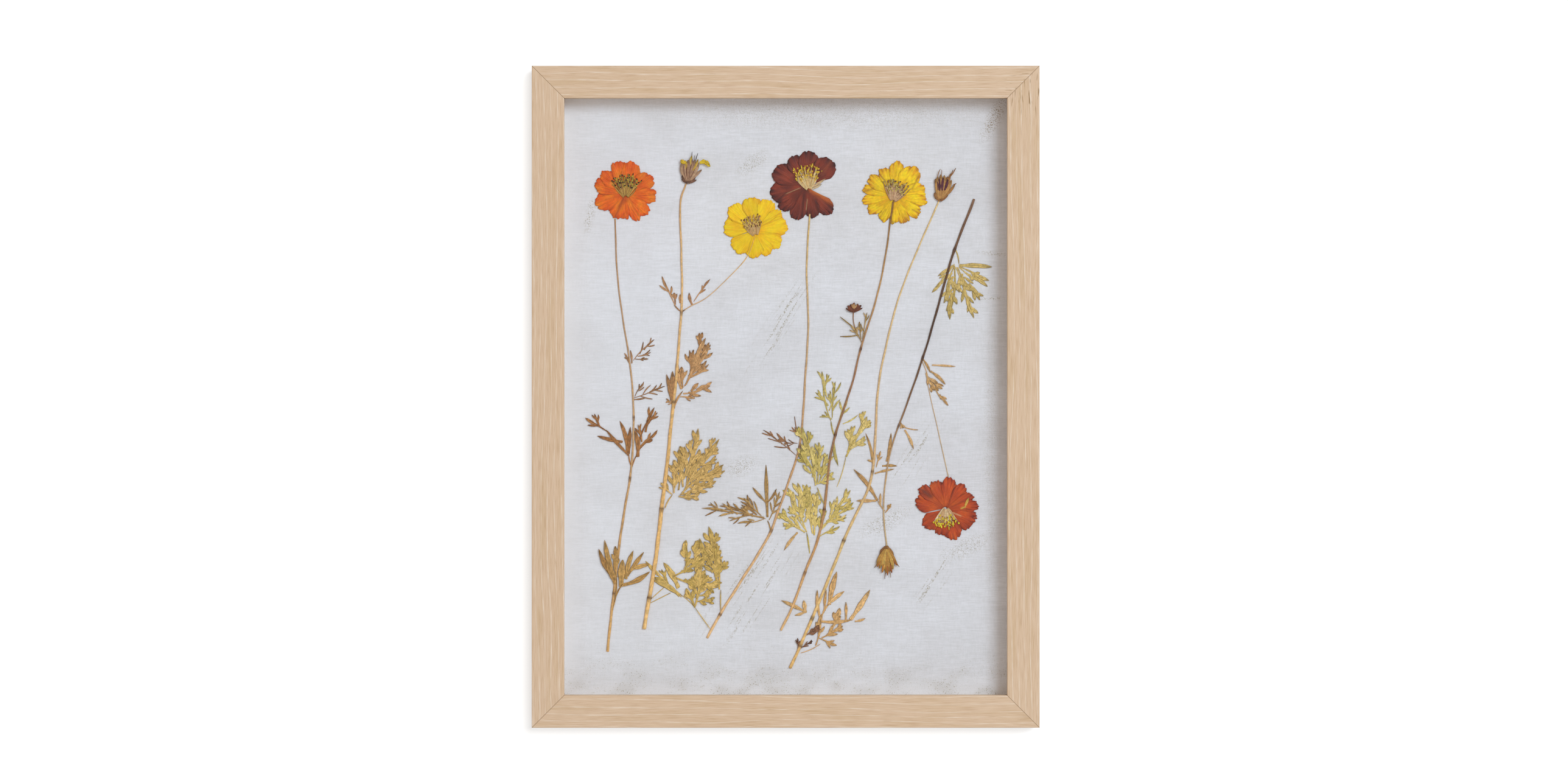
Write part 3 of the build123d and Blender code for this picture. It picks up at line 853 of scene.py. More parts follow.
def lobes(rows, colours, seed, layer=0.0, fullness=0.0, thickness=0.16, curl=1.0):
    """Closed thin lobes from base to tip, one a row: base x and z, tip x and z, width, all mm.

    The half width is a skewed half sine of the way along, broad at the foot so that lobes
    join; near fullness 1, and for thin ribs, it is nearly the same all the way. The middle
    line bows to one side by a half sine, the edges and the tip lift, and the colour is a
    random mix of the two given.
    """
    rows = np.atleast_2d(np.asarray(rows, float))
    rng = np.random.default_rng(seed)
    n = len(rows)
    base, tip, width = rows[:, :2], rows[:, 2:4], rows[:, 4]
    step = tip - base
    length = np.linalg.norm(step, axis=1)
    ahead = step / length[:, None]
    aside = np.stack([-ahead[:, 1], ahead[:, 0]], 1)
    stations, corners = 13, 8
    t = (1 - np.cos(np.linspace(0.06, 0.97, stations) * np.pi)) / 2
    full = np.clip(np.maximum(fullness, (1.0 - width) * 2.5), 0, 1)[:, None]
    leafy = np.maximum(np.sin(np.pi * t**1.12) ** 0.75, 0.62 * (1 - t) ** 0.4)
    plain = np.sin(np.pi * t) ** 0.22
    waves = rng.uniform(2, 3.5, (n, 1)) * t + rng.random((n, 1))
    ripple = 1 + (1 - full) * 0.10 * np.sin(2 * np.pi * waves)
    half = 0.57 * width[:, None] * ((1 - full) * leafy + full * plain) * ripple
    bow = rng.uniform(-0.07, 0.07, n)[:, None] * length[:, None] * np.sin(np.pi * t)
    middle = (
        base[:, None]
        + ahead[:, None] * (length[:, None] * t)[..., None]
        + aside[:, None] * bow[..., None]
    )
    around = np.arange(corners) / corners * 2 * np.pi
    across, face = np.cos(around), np.sin(around)
    spot = middle[:, :, None] + aside[:, None, None] * (half[..., None] * across)[..., None]
    rise = 0.10 + layer + rng.uniform(0, 0.25, n)[:, None] + curl * rng.uniform(0, 0.4, n)[:, None] * t**2.5
    cup = curl * 0.10 * half[..., None] * across**2
    rib = 0.10 * (np.abs(across) < 0.2) * (face > 0)
    out = rise[..., None] + cup + rib + thickness / 2 * (1 + face)
    rings = np.stack([spot[..., 0], -out, spot[..., 1]], -1)
    ends = []
    for end, place in ((0, base), (-1, tip)):
        ends.append(np.stack([place[:, 0], -(rise[:, end] + thickness / 2), place[:, 1]], 1))
    low_tone, high_tone = (np.array(linear(c)[:3]) for c in colours)
    share = rng.random(n)[:, None]
    tone = low_tone * (1 - share) + high_tone * share
    tint = np.repeat(tone[:, None], stations * corners + 2, 1).reshape(-1, 3)

    def at_points(value, poles):
        """One value for each point of each lobe, with its two poles' values last."""
        return np.hstack([np.broadcast_to(value, (n, stations, corners)).reshape(n, -1), poles])

    run = at_points((length[:, None] * t)[..., None], np.stack([np.zeros(n), length], 1))
    turn = at_points(across, np.zeros((n, 2)))
    # The colour is painted darker along the midrib's fold, as painted shade in the crease, and darker near the
    # tip.
    fold_shade_and_dark_tip = 1 - 0.26 * (np.abs(across) < 0.2) - 0.30 * (t[:, None] > 0.84)
    shade = at_points(fold_shade_and_dark_tip, np.full((n, 2), 0.7))
    return rings, ends[0], ends[1], tint * shade.reshape(-1, 1), run.ravel(), turn.ravel()


def leaf_lobes(leaves, seed):
    """The lobes of feathery leaves, one a row: base x and z, tip x and z, width, in millimetres.

    A leaf is its base and its tip, its pairs of side lobes, their reach and their breadth. The
    pairs leave the rib evenly spaced from a quarter to three quarters of the way, at 20 to 36
    degrees, those on one side a little further out. They shorten towards the tip, and one
    longer than 9 mm forks twice. A leaf with no pairs is a single lobe.
    """
    rng = np.random.default_rng(seed)
    rows = []
    for base_x, base_z, tip_x, tip_z, pairs, reach, breadth in leaves:
        base = np.array([base_x, base_z], float)
        step = np.array([tip_x, tip_z]) - base
        if pairs == 0:
            rows.append(np.array([[*base, *(base + step), breadth]]))
            continue
        rib = [*base, *(base + 0.85 * step), 0.4 * breadth]
        end = [*(base + 0.5 * step), *(base + step), 0.8 * breadth]
        side = np.repeat([1.0, -1.0], pairs)
        along = np.tile(np.linspace(0.25, 0.72, pairs) if pairs > 1 else [0.42], 2) + 0.05 * side
        turn = np.arctan2(step[1], step[0]) + side * rng.uniform(0.34, 0.62, 2 * pairs)
        long = reach * (1.4 - 0.7 * along) * rng.uniform(0.75, 1.1, 2 * pairs)
        foot = base + along[:, None] * step
        tip = foot + long[:, None] * np.stack([np.cos(turn), np.sin(turn)], 1)
        wide = breadth * rng.uniform(0.50, 0.72, 2 * pairs)
        rows.append(np.array([rib, end]))
        rows.append(np.column_stack([foot, tip, wide]))
        forked = long > 9
        for fork, bend in ((0.4, 0.45), (0.55, -0.4)):
            start = foot[forked] + fork * (tip - foot)[forked]
            way = (turn + bend * side)[forked]
            ahead = np.stack([np.cos(way), np.sin(way)], 1) * (0.5 * long)[forked, None]
            rows.append(np.column_stack([start, start + ahead, 0.8 * wide[forked]]))
    return np.vstack(rows)


herb = dried_plant("dried_leaf_skin", (1.6, 0.6), 0.7, 0.42, 0.08)
leaves = {
    "orange": [
        (
            ("#976C46", "#C5936A"),
            [
                (-103, 21, -107, 29, 1, 3, 1.2), (-102, 22, -103, 31, 0, 0, 1.2),
                (-101, 24, -87, 38, 2, 7, 1.3), (-100, 25, -91, 25, 1, 3, 1.2),
                (-101, -1, -80, 7, 3, 7, 1.2), (-100, 0, -94, 10, 1, 4, 1.2),
                (-101, -2, -93, -1, 0, 0, 1.0),
            ],
        ),
        (
            ("#976034", "#CA8B50"),
            [
                (-102, -47, -104, -38, 0, 0, 0.7), (-104, -39, -119, -22, 0, 0, 2.0),
                (-117, -24, -133, -14, 1, 8, 2.2), (-104, -38, -103, -20, 0, 0, 2.2),
                (-105, -37, -110, -16, 0, 0, 2.4), (-108, -30, -125, -26, 0, 0, 2.2),
                (-102, -47, -99, -39, 0, 0, 0.7), (-99, -40, -87, -7, 2, 10, 2.4),
                (-98, -40, -100, -22, 0, 0, 2.8), (-97, -35, -85, -22, 1, 5, 2.0),
            ],
        ),
        (
            ("#B48246", "#D9A860"),
            [
                (-115, -142, -112, -120, 0, 0, 0.8), (-113, -122, -124, -101, 0, 0, 3.0),
                (-113, -121, -120, -95, 0, 0, 3.0), (-112, -120, -113, -99, 1, 6, 3.4),
                (-113, -124, -119, -108, 0, 0, 3.2), (-113, -134, -108, -124, 0, 0, 0.8),
                (-109, -126, -108, -108, 0, 0, 4.2), (-108, -125, -90, -116, 0, 0, 3.0),
                (-106, -121, -101, -102, 0, 0, 2.8), (-105, -119, -94, -103, 0, 0, 2.4),
                (-103, -115, -90, -111, 0, 0, 2.6),
            ],
        ),
    ],
    "yellow": [
        (
            ("#AE7C58", "#DEA672"),
            [
                (-69, 56, -74, 61, 0, 0, 0.8), (-73, 60, -82, 80, 1, 7, 1.8),
                (-73, 61, -74, 69, 1, 4, 2.4), (-70, 62, -70, 68, 0, 0, 1.6),
                (-62, 61, -64, 69, 0, 0, 1.8), (-61, 63, -50, 78, 1, 5, 1.6),
            ],
        ),
        (
            ("#B68252", "#E4AD74"),
            [
                (-74, -8, -79, 15, 0, 0, 2.6), (-74, -3, -75, 17, 0, 0, 3.4),
                (-74, -8, -68, 4, 0, 0, 1.2), (-69, 5, -72, 24, 0, 0, 2.4),
                (-68, 6, -69, 20, 1, 6, 3.2), (-67, 7, -53, 39, 2, 12, 3.4),
                (-66, 8, -51, 33, 2, 11, 3.6), (-68, 2, -50, 7, 2, 8, 3.2),
                (-70, 0, -60, -1, 1, 4, 1.8), (-73, -4, -79, -3, 2, 3, 1.4),
            ],
        ),
        (
            ("#D3A85E", "#F0C276"),
            [
                (-80, -74, -75, -65, 0, 0, 0.8), (-75, -65, -83, -57, 1, 5, 2.2),
                (-74, -64, -74, -47, 2, 8, 3.6), (-71, -62, -71, -35, 3, 8, 3.6),
                (-68, -60, -67, -33, 2, 8, 4.2), (-66, -62, -58, -21, 3, 11, 3.6),
                (-68, -64, -44, -28, 4, 11, 3.2), (-66, -60, -54, -37, 2, 9, 3.6),
                (-69, -64, -41, -45, 3, 9, 3.2), (-66, -60, -40, -49, 2, 8, 3.0),
                (-70, -65, -46, -56, 3, 7, 3.8), (-71, -66, -58, -66, 2, 6, 3.4),
            ],
        ),
        (
            ("#CFAA58", "#F0C676"),
            [
                (-90, -137, -76, -130, 0, 0, 0.5), (-89, -134, -80, -126, 0, 0, 0.5),
                (-70, -132, -89, -121, 0, 0, 3.4), (-69, -133, -93, -109, 1, 9, 2.8),
                (-71, -127, -81, -110, 0, 0, 3.6), (-60, -140, -70, -131, 0, 0, 0.5),
            ],
        ),
    ],
    "maroon": [
        (
            ("#8D6040", "#C18B60"),
            [
                (7, -39, -15, -22, 3, 7, 1.1), (3, -35, -6, -24, 1, 5, 1.6),
                (8, -31, -1, -31, 2, 4, 0.9), (9, -27, 4, -20, 1, 4, 1.0), (9, -26, 6, -13, 0, 0, 0.5),
            ],
        ),
        (
            ("#A07444", "#D5A866"),
            [
                (-10, -92, -12, -82, 0, 0, 0.7), (-13, -81, -56, -74, 3, 11, 1.6),
                (-14, -80, -39, -72, 2, 8, 2.0), (-14, -81, -32, -84, 1, 5, 1.4),
                (-16, -79, -28, -67, 3, 8, 1.8), (-12, -80, -13, -45, 0, 0, 2.2),
                (-13, -70, -22, -60, 0, 0, 1.6), (-12, -70, -6, -61, 0, 0, 1.4),
                (-11, -82, -4, -63, 3, 6, 1.6),
            ],
        ),
        (
            ("#CFAA56", "#F2C672"),
            [
                (-50, -154, -60, -140, 0, 0, 0.5), (-60, -140, -66, -127, 1, 6, 3.6),
                (-60, -139, -56, -112, 3, 10, 4.2), (-59, -136, -48, -135, 2, 5, 3.0),
                (-58, -132, -49, -130, 1, 5, 3.0), (-73, -120, -44, -126, 3, 10, 4.0),
                (-74, -119, -50, -104, 3, 9, 4.2), (-67, -117, -66, -95, 1, 7, 4.0),
                (-62, -112, -58, -95, 1, 6, 4.0), (-43, -142, -43, -128, 0, 0, 0.6),
                (-44, -128, -51, -86, 4, 10, 4.0), (-44, -126, -57, -94, 3, 9, 4.0),
                (-44, -118, -38, -109, 1, 5, 2.6), (-46, -124, -46, -98, 2, 6, 3.8),
            ],
        ),
    ],
    "golden": [
        (
            ("#C3AA5A", "#EAD082"),
            [
                (33, -28, 30, -16, 0, 0, 0.8), (30, -16, 24, 17, 2, 11, 2.2),
                (31, -14, 33, 10, 2, 9, 2.0), (35, -18, 41, -1, 1, 7, 2.0),
                (31, -15, 24, -12, 1, 5, 1.6), (38, -18, 48, -12, 0, 0, 1.0),
                (32, -28, 35, -46, 0, 0, 1.8),
            ],
        ),
        (
            ("#DEBD68", "#F4D486"),
            [(34, -60, 40, -40, 0, 0, 0.5), (40, -40, 54, -13, 2, 11, 4.0), (41, -37, 44, -21, 1, 7, 3.6)],
        ),
        (
            ("#CFB55E", "#F0D482"),
            [
                (26, -72, 21, -60, 0, 0, 0.8), (20, -59, 11, -20, 3, 11, 3.6),
                (20, -58, 10, -34, 2, 8, 3.4), (21, -58, 22, -30, 3, 8, 2.8),
                (22, -58, 28, -38, 2, 8, 2.8), (21, -58, 31, -53, 2, 6, 2.6),
            ],
        ),
        (
            ("#D7BB62", "#F8D684"),
            [
                (16, -104, 14, -90, 0, 0, 0.9), (14, -90, 8, -57, 3, 10, 3.2),
                (13, -88, 1, -60, 2, 9, 3.0), (13, -90, -5, -77, 2, 8, 3.6),
                (11, -80, 14, -58, 2, 8, 3.2), (18, -91, 16, -62, 3, 7, 4.2),
                (19, -92, 21, -63, 2, 7, 4.0), (22, -93, 25, -74, 2, 6, 3.4),
                (23, -88, 43, -62, 3, 10, 2.8), (26, -85, 45, -70, 2, 8, 2.8),
                (26, -84, 39, -81, 1, 5, 2.4), (22, -93, 36, -86, 1, 5, 2.0),
            ],
        ),
        (
            ("#D1A160", "#ECBB7E"),
            [
                (8, -90, -1, -102, 0, 0, 1.8), (14, -143, -3, -135, 0, 0, 2.2),
                (13, -143, 12, -135, 0, 0, 2.4), (14, -142, 6, -145, 0, 0, 1.6),
            ],
        ),
        (
            ("#9E7C42", "#D3AB70"),
            [
                (50, 38, 43, 48, 1, 5, 1.4), (49, 41, 36, 40, 0, 0, 0.8), (47, 44, 36, 53, 0, 0, 0.7),
                (51, 38, 54, 56, 2, 5, 1.2), (50, 38, 49, 50, 1, 4, 1.4),
            ],
        ),
    ],
    "seedhead": [
        (
            ("#CC9D60", "#F0BF86"),
            [
                (58, -50, 53, -24, 0, 0, 1.6), (59, -44, 54, -42, 0, 0, 1.2),
                (60, -47, 63, -36, 1, 4, 1.6), (64, -46, 74, -46, 0, 0, 1.6),
                (59, -51, 72, -48, 0, 0, 1.4),
            ],
        ),
        (
            ("#D9A466", "#F8C484"),
            [
                (23, -147, 21, -128, 0, 0, 2.0), (26, -142, 27, -128, 0, 0, 1.6),
                (24, -146, 29, -137, 0, 0, 1.2), (29, -138, 34, -116, 0, 0, 3.4),
                (28, -138, 39, -129, 0, 0, 2.4), (20, -165, 24, -144, 1, 7, 3.0),
                (23, -149, 44, -148, 0, 0, 2.2), (43, -148, 56, -128, 0, 0, 3.2),
                (30, -156, 36, -140, 1, 6, 3.6), (40, -148, 40, -136, 0, 0, 1.6),
                (46, -149, 53, -147, 0, 0, 1.4), (24, -160, 38, -152, 2, 6, 3.0),
                (22, -160, 34, -165, 1, 5, 2.2), (10, -170, 23, -164, 0, 0, 0.5),
            ],
        ),
        (
            ("#67412E", "#A77250"),
            [
                (14, -158, 22, -153, 2, 4, 3.0), (18, -158, 22, -152, 1, 4, 3.4),
                (10, -167, 18, -162, 2, 3, 1.2), (8, -168, 8, -160, 1, 3, 1.2),
            ],
        ),
    ],
    "russet": [
        (
            ("#CAAA60", "#ECC87A"),
            [
                (112, 99, 115, 88, 0, 0, 0.8), (115, 87, 137, 86, 0, 0, 2.8),
                (116, 86, 135, 77, 1, 5, 2.8), (115, 86, 134, 73, 1, 5, 2.8),
                (114, 86, 129, 64, 2, 8, 3.0), (113, 86, 125, 52, 3, 8, 3.0),
                (112, 87, 109, 51, 3, 7, 3.2), (112, 87, 105, 62, 2, 7, 3.0),
                (112, 88, 97, 69, 1, 5, 2.4), (111, 87, 101, 80, 0, 0, 2.0),
            ],
        ),
        (
            ("#C18F54", "#ECBB80"),
            [
                (91, 25, 96, 16, 0, 0, 1.4), (96, 17, 106, 8, 0, 0, 1.8), (93, 16, 99, 4, 2, 6, 3.0),
                (96, 12, 104, 5, 1, 5, 2.2), (99, 6, 108, -6, 1, 4, 1.8), (97, 21, 113, 20, 0, 0, 1.2),
                (76, -16, 78, -21, 1, 3, 1.8), (78, -20, 88, -22, 0, 0, 0.6),
                (79, -22, 85, -35, 0, 0, 1.6), (67, -43, 70, -24, 0, 0, 1.8),
                (66, -76, 61, -69, 0, 0, 0.7), (61, -69, 45, -48, 0, 0, 2.4),
                (60, -69, 47, -69, 0, 0, 2.0), (63, -72, 63, -64, 0, 0, 1.4),
                (66, -77, 70, -71, 1, 3, 1.8),
            ],
        ),
    ],
}
for seed, (name, clusters) in enumerate(leaves.items()):
    shapes = [
        lobes(leaf_lobes(rows, 40 * seed + k), colours, 500 + 20 * seed + k, 0.25 * (k % 3))
        for k, (colours, rows) in enumerate(clusters)
    ]
    finish_piece(make_piece(name + "_foliage", *gather(shapes)), herb, name + "_leaves")

# Blooms. Pressed cosmos heads, eight or so ray petals lying over each other like a fan, with
# toothed tips and fine veins. Dried petals are matt and a little translucent; here they are drawn matt and
# opaque.


def petal_fan(centre, rows, colours, seed, tooth, rounding, marks=()):
    """Points, faces, values and tints of one bloom's petals, each a wedge grid from the centre.

    A row is a petal's angle and reach, in degrees and millimetres; petals are wide enough to
    lie about a quarter over their neighbours, except across a wide gap. The rim is the reach, less a
    power of the way across that rounds the corners, plus teeth: the absolute value of a sine,
    and two finer sines for the ragged edge. Each petal tilts so that one side lies over its
    neighbour, and is ruffled by a sine that grows towards the rim. colours run from the heart
    to the rim, then a deep and a light one for clouds. A mark is a line from x, z to x, z, its
    width, its colour and its strength.
    """
    rng = np.random.default_rng(seed)
    rows = np.asarray(rows, float)
    rows = rows[np.argsort(rows[:, 0])]
    step = np.diff(np.append(rows[:, 0], rows[0, 0] + 360))
    step = np.maximum(np.where(step > 60, 0, step), np.where(np.roll(step, 1) > 60, 0, np.roll(step, 1)))
    angle, reach = rows.T[:, :, None, None]
    half = np.clip(0.63 * step, 14, 30)[:, None, None]
    n, across_count, along_count = len(rows), 65, 20
    phi = np.linspace(-1, 1, across_count)[None, None]
    u = np.linspace(0.05, 1, along_count)[None, :, None] ** 0.9
    shift = rng.random((n, 1, 1))
    count = tooth[0] * rng.uniform(0.85, 1.2, (n, 1, 1))
    teeth = np.abs(np.sin(np.pi * (count * phi + shift))) ** 0.7 * (
        0.6 + 0.4 * np.sin(2 * np.pi * (0.9 * phi + 3 * shift))
    )
    ragged = 0.18 * np.sin(19 * phi + 7 * shift + angle) + 0.16 * np.sin(31 * phi + 5 * angle)
    rim = reach * (1 - rounding * np.abs(phi) ** 2.6) + tooth[1] * (teeth - 0.6) + ragged
    bulge = 1 + 0.05 * np.sin(2 * np.pi * (0.6 * phi + rng.random((n, 1, 1))))
    turn = np.radians(angle + half * phi * (0.80 + 0.20 * u) * bulge)
    r = u * rim
    x = centre[0] + r * np.cos(turn)
    z = centre[1] + r * np.sin(turn)
    veins = 0.035 * np.cos(2 * np.pi * (5.5 * phi + shift)) * u
    ruffle = 0.10 * np.sin(2 * np.pi * (1.6 * phi + rng.random((n, 1, 1)))) * u**2
    crease = 0.05 * np.sin(x / 1.7 + 2 * z / 1.9) * np.sin(z / 2.3 + seed) * u
    out = 0.66 + 0.24 * phi * u + 0.2 * u * (1 - u) - 0.10 * u + veins + ruffle + crease
    points = np.stack([x, -out, z], -1).reshape(-1, 3)
    quads = grid_faces(along_count, across_count)[:, ::-1]
    quads = (quads[None] + np.arange(n)[:, None, None] * along_count * across_count).reshape(-1, 4)
    rgb = np.array([linear(c)[:3] for c in colours])
    spread = np.array([0.0, 0.30, 0.72, 0.93, 1.0])
    place = np.clip(u + 0.07 * np.sin(2 * np.pi * (2.3 * phi + shift)), 0, 1)
    place = np.broadcast_to(place, (n, along_count, across_count))
    tint = np.stack([np.interp(place, spread, rgb[:5, k]) for k in range(3)], -1)
    cloud = np.sin(x / 2.3 + seed) * np.sin(z / 2.9 - seed + shift * 6) + 0.6 * np.sin(
        (x * np.sin(turn) + z * np.cos(turn)) / 1.3 + shift * 9
    ) * np.sin(r / 3.1 + 4 * shift)
    deep = np.clip(0.45 * cloud, 0, 0.62)[..., None]
    light = np.clip(-0.45 * cloud, 0, 0.62)[..., None]
    tint = tint * (1 - deep - light) + rgb[5] * deep + rgb[6] * light
    tint = tint * rng.uniform(0.90, 1.06, (n, 1, 1, 1))
    # One side edge of each petal, the side that lies over its neighbour, is painted darker: painted shade along
    # the overlap.
    tint = tint * (1 - 0.16 * (phi > 0.9))[..., None]
    tint = (tint * (1 + 0.05 * np.cos(2 * np.pi * (7 * phi + shift)) * u)[..., None]).reshape(-1, 3)
    for x0, z0, x1, z1, width, colour, strength in marks:
        tip = np.array([x1 - x0, z1 - z0])
        spot = points[:, [0, 2]] - (x0, z0)
        share = np.clip(spot @ tip / (tip @ tip), 0, 1)
        away = np.linalg.norm(spot - share[:, None] * tip, axis=1)
        mix = strength * np.exp(-((away / width) ** 2))[:, None]
        tint = tint * (1 - mix) + np.array(linear(colour)[:3]) * mix
    run = np.broadcast_to(r, place.shape).reshape(-1)
    aside = np.broadcast_to(0.7 * phi * u**0.3, place.shape).reshape(-1)
    return on_ground(points), quads, (), {"run": run, "turn": aside}, tint


def fan_rows(base, aim, spread, count, lengths, width, seed, scatter=1.2):
    """Rows of lobes that fan out from a base: angles even with a little jitter, random lengths."""
    rng = np.random.default_rng(seed)
    angle = np.radians(aim + spread * (np.linspace(-1, 1, count) + rng.uniform(-0.2, 0.2, count)))
    length = rng.uniform(*lengths, count)
    aside = scatter * np.linspace(-1, 1, count)[:, None]
    foot = np.array(base) + aside * np.stack([np.cos(angle + 1.6), np.sin(angle + 1.6)], 1)
    tip = foot + length[:, None] * np.stack([np.cos(angle), np.sin(angle)], 1)
    return np.column_stack([foot, tip, rng.uniform(0.8, 1.2, count) * width])


def tips_of(rows, length, width, seed):
    """Short rows that carry on from the tips of others: anthers on their florets."""
    rng = np.random.default_rng(seed)
    step = rows[:, 2:4] - rows[:, :2]
    step /= np.linalg.norm(step, axis=1)[:, None]
    start = rows[:, 2:4] - 0.3 * step
    end = start + step * rng.uniform(0.8, 1.25, (len(rows), 1)) * length
    return np.column_stack([start, end, rng.uniform(0.8, 1.25, len(rows)) * width])


blooms = {
    "orange": {
        "centre": (-106.5, 134.2),
        "petals": [
            (103.5, 22.9), (76, 22.2), (33, 21.6), (-3.5, 21), (-41, 20),
            (-64, 19.6), (-90, 16.8), (-115, 17.2), (-161, 20.6), (158.5, 21.3),
            (136.6, 21.3),
        ],
        "colours": ("#B25013", "#EE6612", "#F66E13", "#EE6112", "#D65011", "#D4480B", "#F6991F"),
        "tooth": (1.7, 1.6),
        "rounding": 0.36,
        "contrast": 0.20,
        "marks": (
            (-107.5, 132, -113, 119, 0.7, "#9A3E14", 0.75),
            (-106, 131, -110, 126, 1.6, "#B84A18", 0.6),
            (-104, 132, -98, 121, 0.6, "#C4541A", 0.5),
            (-108, 134, -126, 137, 0.5, "#C4541A", 0.45),
            (-114, 141, -115, 141.5, 1.2, "#F2A83A", 0.8),
        ),
        "fan": ((-106.1, 133.2), 90, 36, 14.5),
        "dark_every": 2,
        "floret_colours": (
            ("#966438", "#C28C54"), ("#B0803C", "#D4A854"), ("#947A32", "#D4B03E"), ("#2C1E12", "#4E321A"),
        ),
    },
    "yellow": {
        "centre": (-20.5, 110.5),
        "petals": [
            (96, 22), (62, 22.4), (34, 21.4), (8, 22), (-30, 20), (-60, 19),
            (-92, 18.6), (-135, 19.4), (171, 20.8), (135, 22.6),
        ],
        "colours": ("#EBA80E", "#FBC50E", "#FBCE10", "#FBC80E", "#EFB00B", "#F3A80A", "#FBDB1D"),
        "tooth": (1.6, 1.0),
        "rounding": 0.27,
        "contrast": 0.11,
        "marks": (
            (-19, 112, -2, 119, 0.6, "#DA9E14", 0.6),
            (-18, 114, -3, 122, 0.5, "#DA9E14", 0.5),
            (-18, 108, -1, 108, 0.5, "#DCA416", 0.5),
            (-22, 112, -38, 118, 0.5, "#E0AE18", 0.5),
            (-23, 109, -38, 103, 0.5, "#E0AE18", 0.45),
            (-16, 103, -8, 97, 0.8, "#DCA416", 0.4),
        ),
        "fan": ((-20.2, 107.6), 104, 27, 13.0),
        "dark_every": 4,
        "floret_colours": (
            ("#BA804E", "#DAA876"), ("#CA965C", "#E8C286"), ("#D4A254", "#EECA66"), ("#704422", "#926032"),
        ),
    },
    "maroon": {
        "centre": (13.4, 139.4),
        "petals": [
            (84, 23.6), (113, 22), (152, 24), (192.5, 24), (221, 22.8),
            (252.6, 23), (-75, 21.4), (-46, 24.6), (44, 24.6),
        ],
        "colours": ("#451B15", "#762D1C", "#823220", "#69251B", "#411715", "#4C1915", "#9E3C22"),
        "tooth": (1.5, 0.7),
        "rounding": 0.30,
        "contrast": 0.24,
        "marks": (
            (17, 137, 31, 129, 1.8, "#C9642A", 0.75),
            (19, 136.5, 26, 133, 0.8, "#E08A3A", 0.7),
            (9.5, 138.4, 0, 134.4, 0.28, "#C9A070", 0.55),
            (4, 147, -8, 144, 1.4, "#8A3A26", 0.6),
            (0, 135, -7, 128, 0.7, "#2E1212", 0.6),
            (12, 134, 11, 120, 0.8, "#3A1614", 0.6),
            (20, 130, 22, 120, 1.2, "#2E1414", 0.5),
            (24, 148, 30, 156, 1.2, "#9A4A2E", 0.5),
            (14.4, 131, 13.6, 124, 0.25, "#C9A878", 0.5),
        ),
        "fan": ((15.2, 138.2), 97, 37, 16.5),
        "slivers": (("#D2A878", "#E6C89C"), [(15.5, 138, 26.4, 144.6, 1.5), (17, 137.6, 24, 141, 1.2)]),
        "dark_every": 3,
        "floret_colours": (
            ("#CA9252", "#ECC88E"), ("#DCAA66", "#F6DAA2"), ("#E4AC2A", "#F6D244"), ("#CE921E", "#F6DA44"),
        ),
    },
    "golden": {
        "centre": (72, 133),
        "petals": [
            (84, 23.2), (51.6, 24), (10.6, 21.4), (-10, 22), (-37, 21.2),
            (-66, 19.6), (-90, 18.4), (-118, 18.6), (-150, 20.2), (-172, 21.8),
            (166, 21.6), (143, 21.2), (113, 20.4),
        ],
        "colours": ("#C88E0F", "#EFB20F", "#FBD010", "#F5B60F", "#C8800F", "#DA920F", "#FBDE17"),
        "tooth": (1.5, 1.5),
        "rounding": 0.34,
        "contrast": 0.22,
        "marks": (
            (71.6, 130, 69.5, 116, 0.7, "#7A4A22", 0.9),
            (69, 118, 72, 114, 1.2, "#8A5420", 0.6),
            (60, 150, 66, 143, 0.6, "#8A5420", 0.7),
            (52, 136, 58, 138, 1.0, "#9A5A20", 0.6),
            (88, 146, 84, 138, 0.6, "#8E5C1E", 0.6),
            (84, 124, 92, 120, 0.7, "#A8681C", 0.6),
            (80, 118, 78, 113, 1.6, "#B06A24", 0.6),
            (60, 122, 54, 118, 0.6, "#A8681C", 0.6),
            (66, 124, 58, 112, 0.6, "#B87A1C", 0.5),
        ),
        "fan": ((71.3, 130.4), 76, 32, 14.0),
        "dark_every": 3,
        "floret_colours": (
            ("#A8785A", "#D2AA86"), ("#C08E66", "#E0BA92"), ("#B8964A", "#DCC06A"), ("#7A5A28", "#A0803C"),
        ),
    },
    "russet": {
        "centre": (105.8, -74.3),
        "petals": [
            (81, 21.2), (50, 20.4), (26, 20.6), (6, 22.4), (-14, 21.8), (-30, 21.4), (-72, 21.4),
            (-98, 18.2), (-138, 18.4), (163, 20.2), (139, 22.2), (112, 20),
        ],
        "colours": ("#9E3C16", "#C34C18", "#C84A18", "#B03C15", "#7A2512", "#9B3413", "#DF631A"),
        "tooth": (2.6, 1.5),
        "rounding": 0.32,
        "contrast": 0.20,
        "marks": (
            (92, -63, 96, -66, 2.2, "#5E2A1C", 0.75),
            (108, -72, 112, -60, 0.5, "#6E2A18", 0.6),
            (110, -73, 124, -66, 0.5, "#8A3418", 0.5),
            (117, -74, 119, -73, 0.9, "#D07A38", 0.8),
            (104, -76, 92, -82, 1.2, "#8E3618", 0.5),
            (112, -82, 116, -86, 2.0, "#8A3018", 0.5),
            (96, -84, 99, -90, 1.8, "#7E2C18", 0.5),
            (111, -77, 116, -79, 0.5, "#D8A070", 0.8),
        ),
        "fan": ((106.2, -74.6), -93, 33, 12.8),
        "slivers": (("#E0A040", "#E8B450"), [(118.6, -73.6, 121.4, -67, 1.6), (116, -74.4, 119, -73.2, 1.0)]),
        "dark_every": 6,
        "floret_colours": (
            ("#CA9260", "#EEC89C"), ("#D4A270", "#F6DAAC"), ("#ECBA22", "#F6E436"), ("#804E1E", "#F4BA2A"),
        ),
    },
}
florets_skin = dried_plant("dried_floret", (1.2, 0.8), 0.65, 0.30, 0.1)
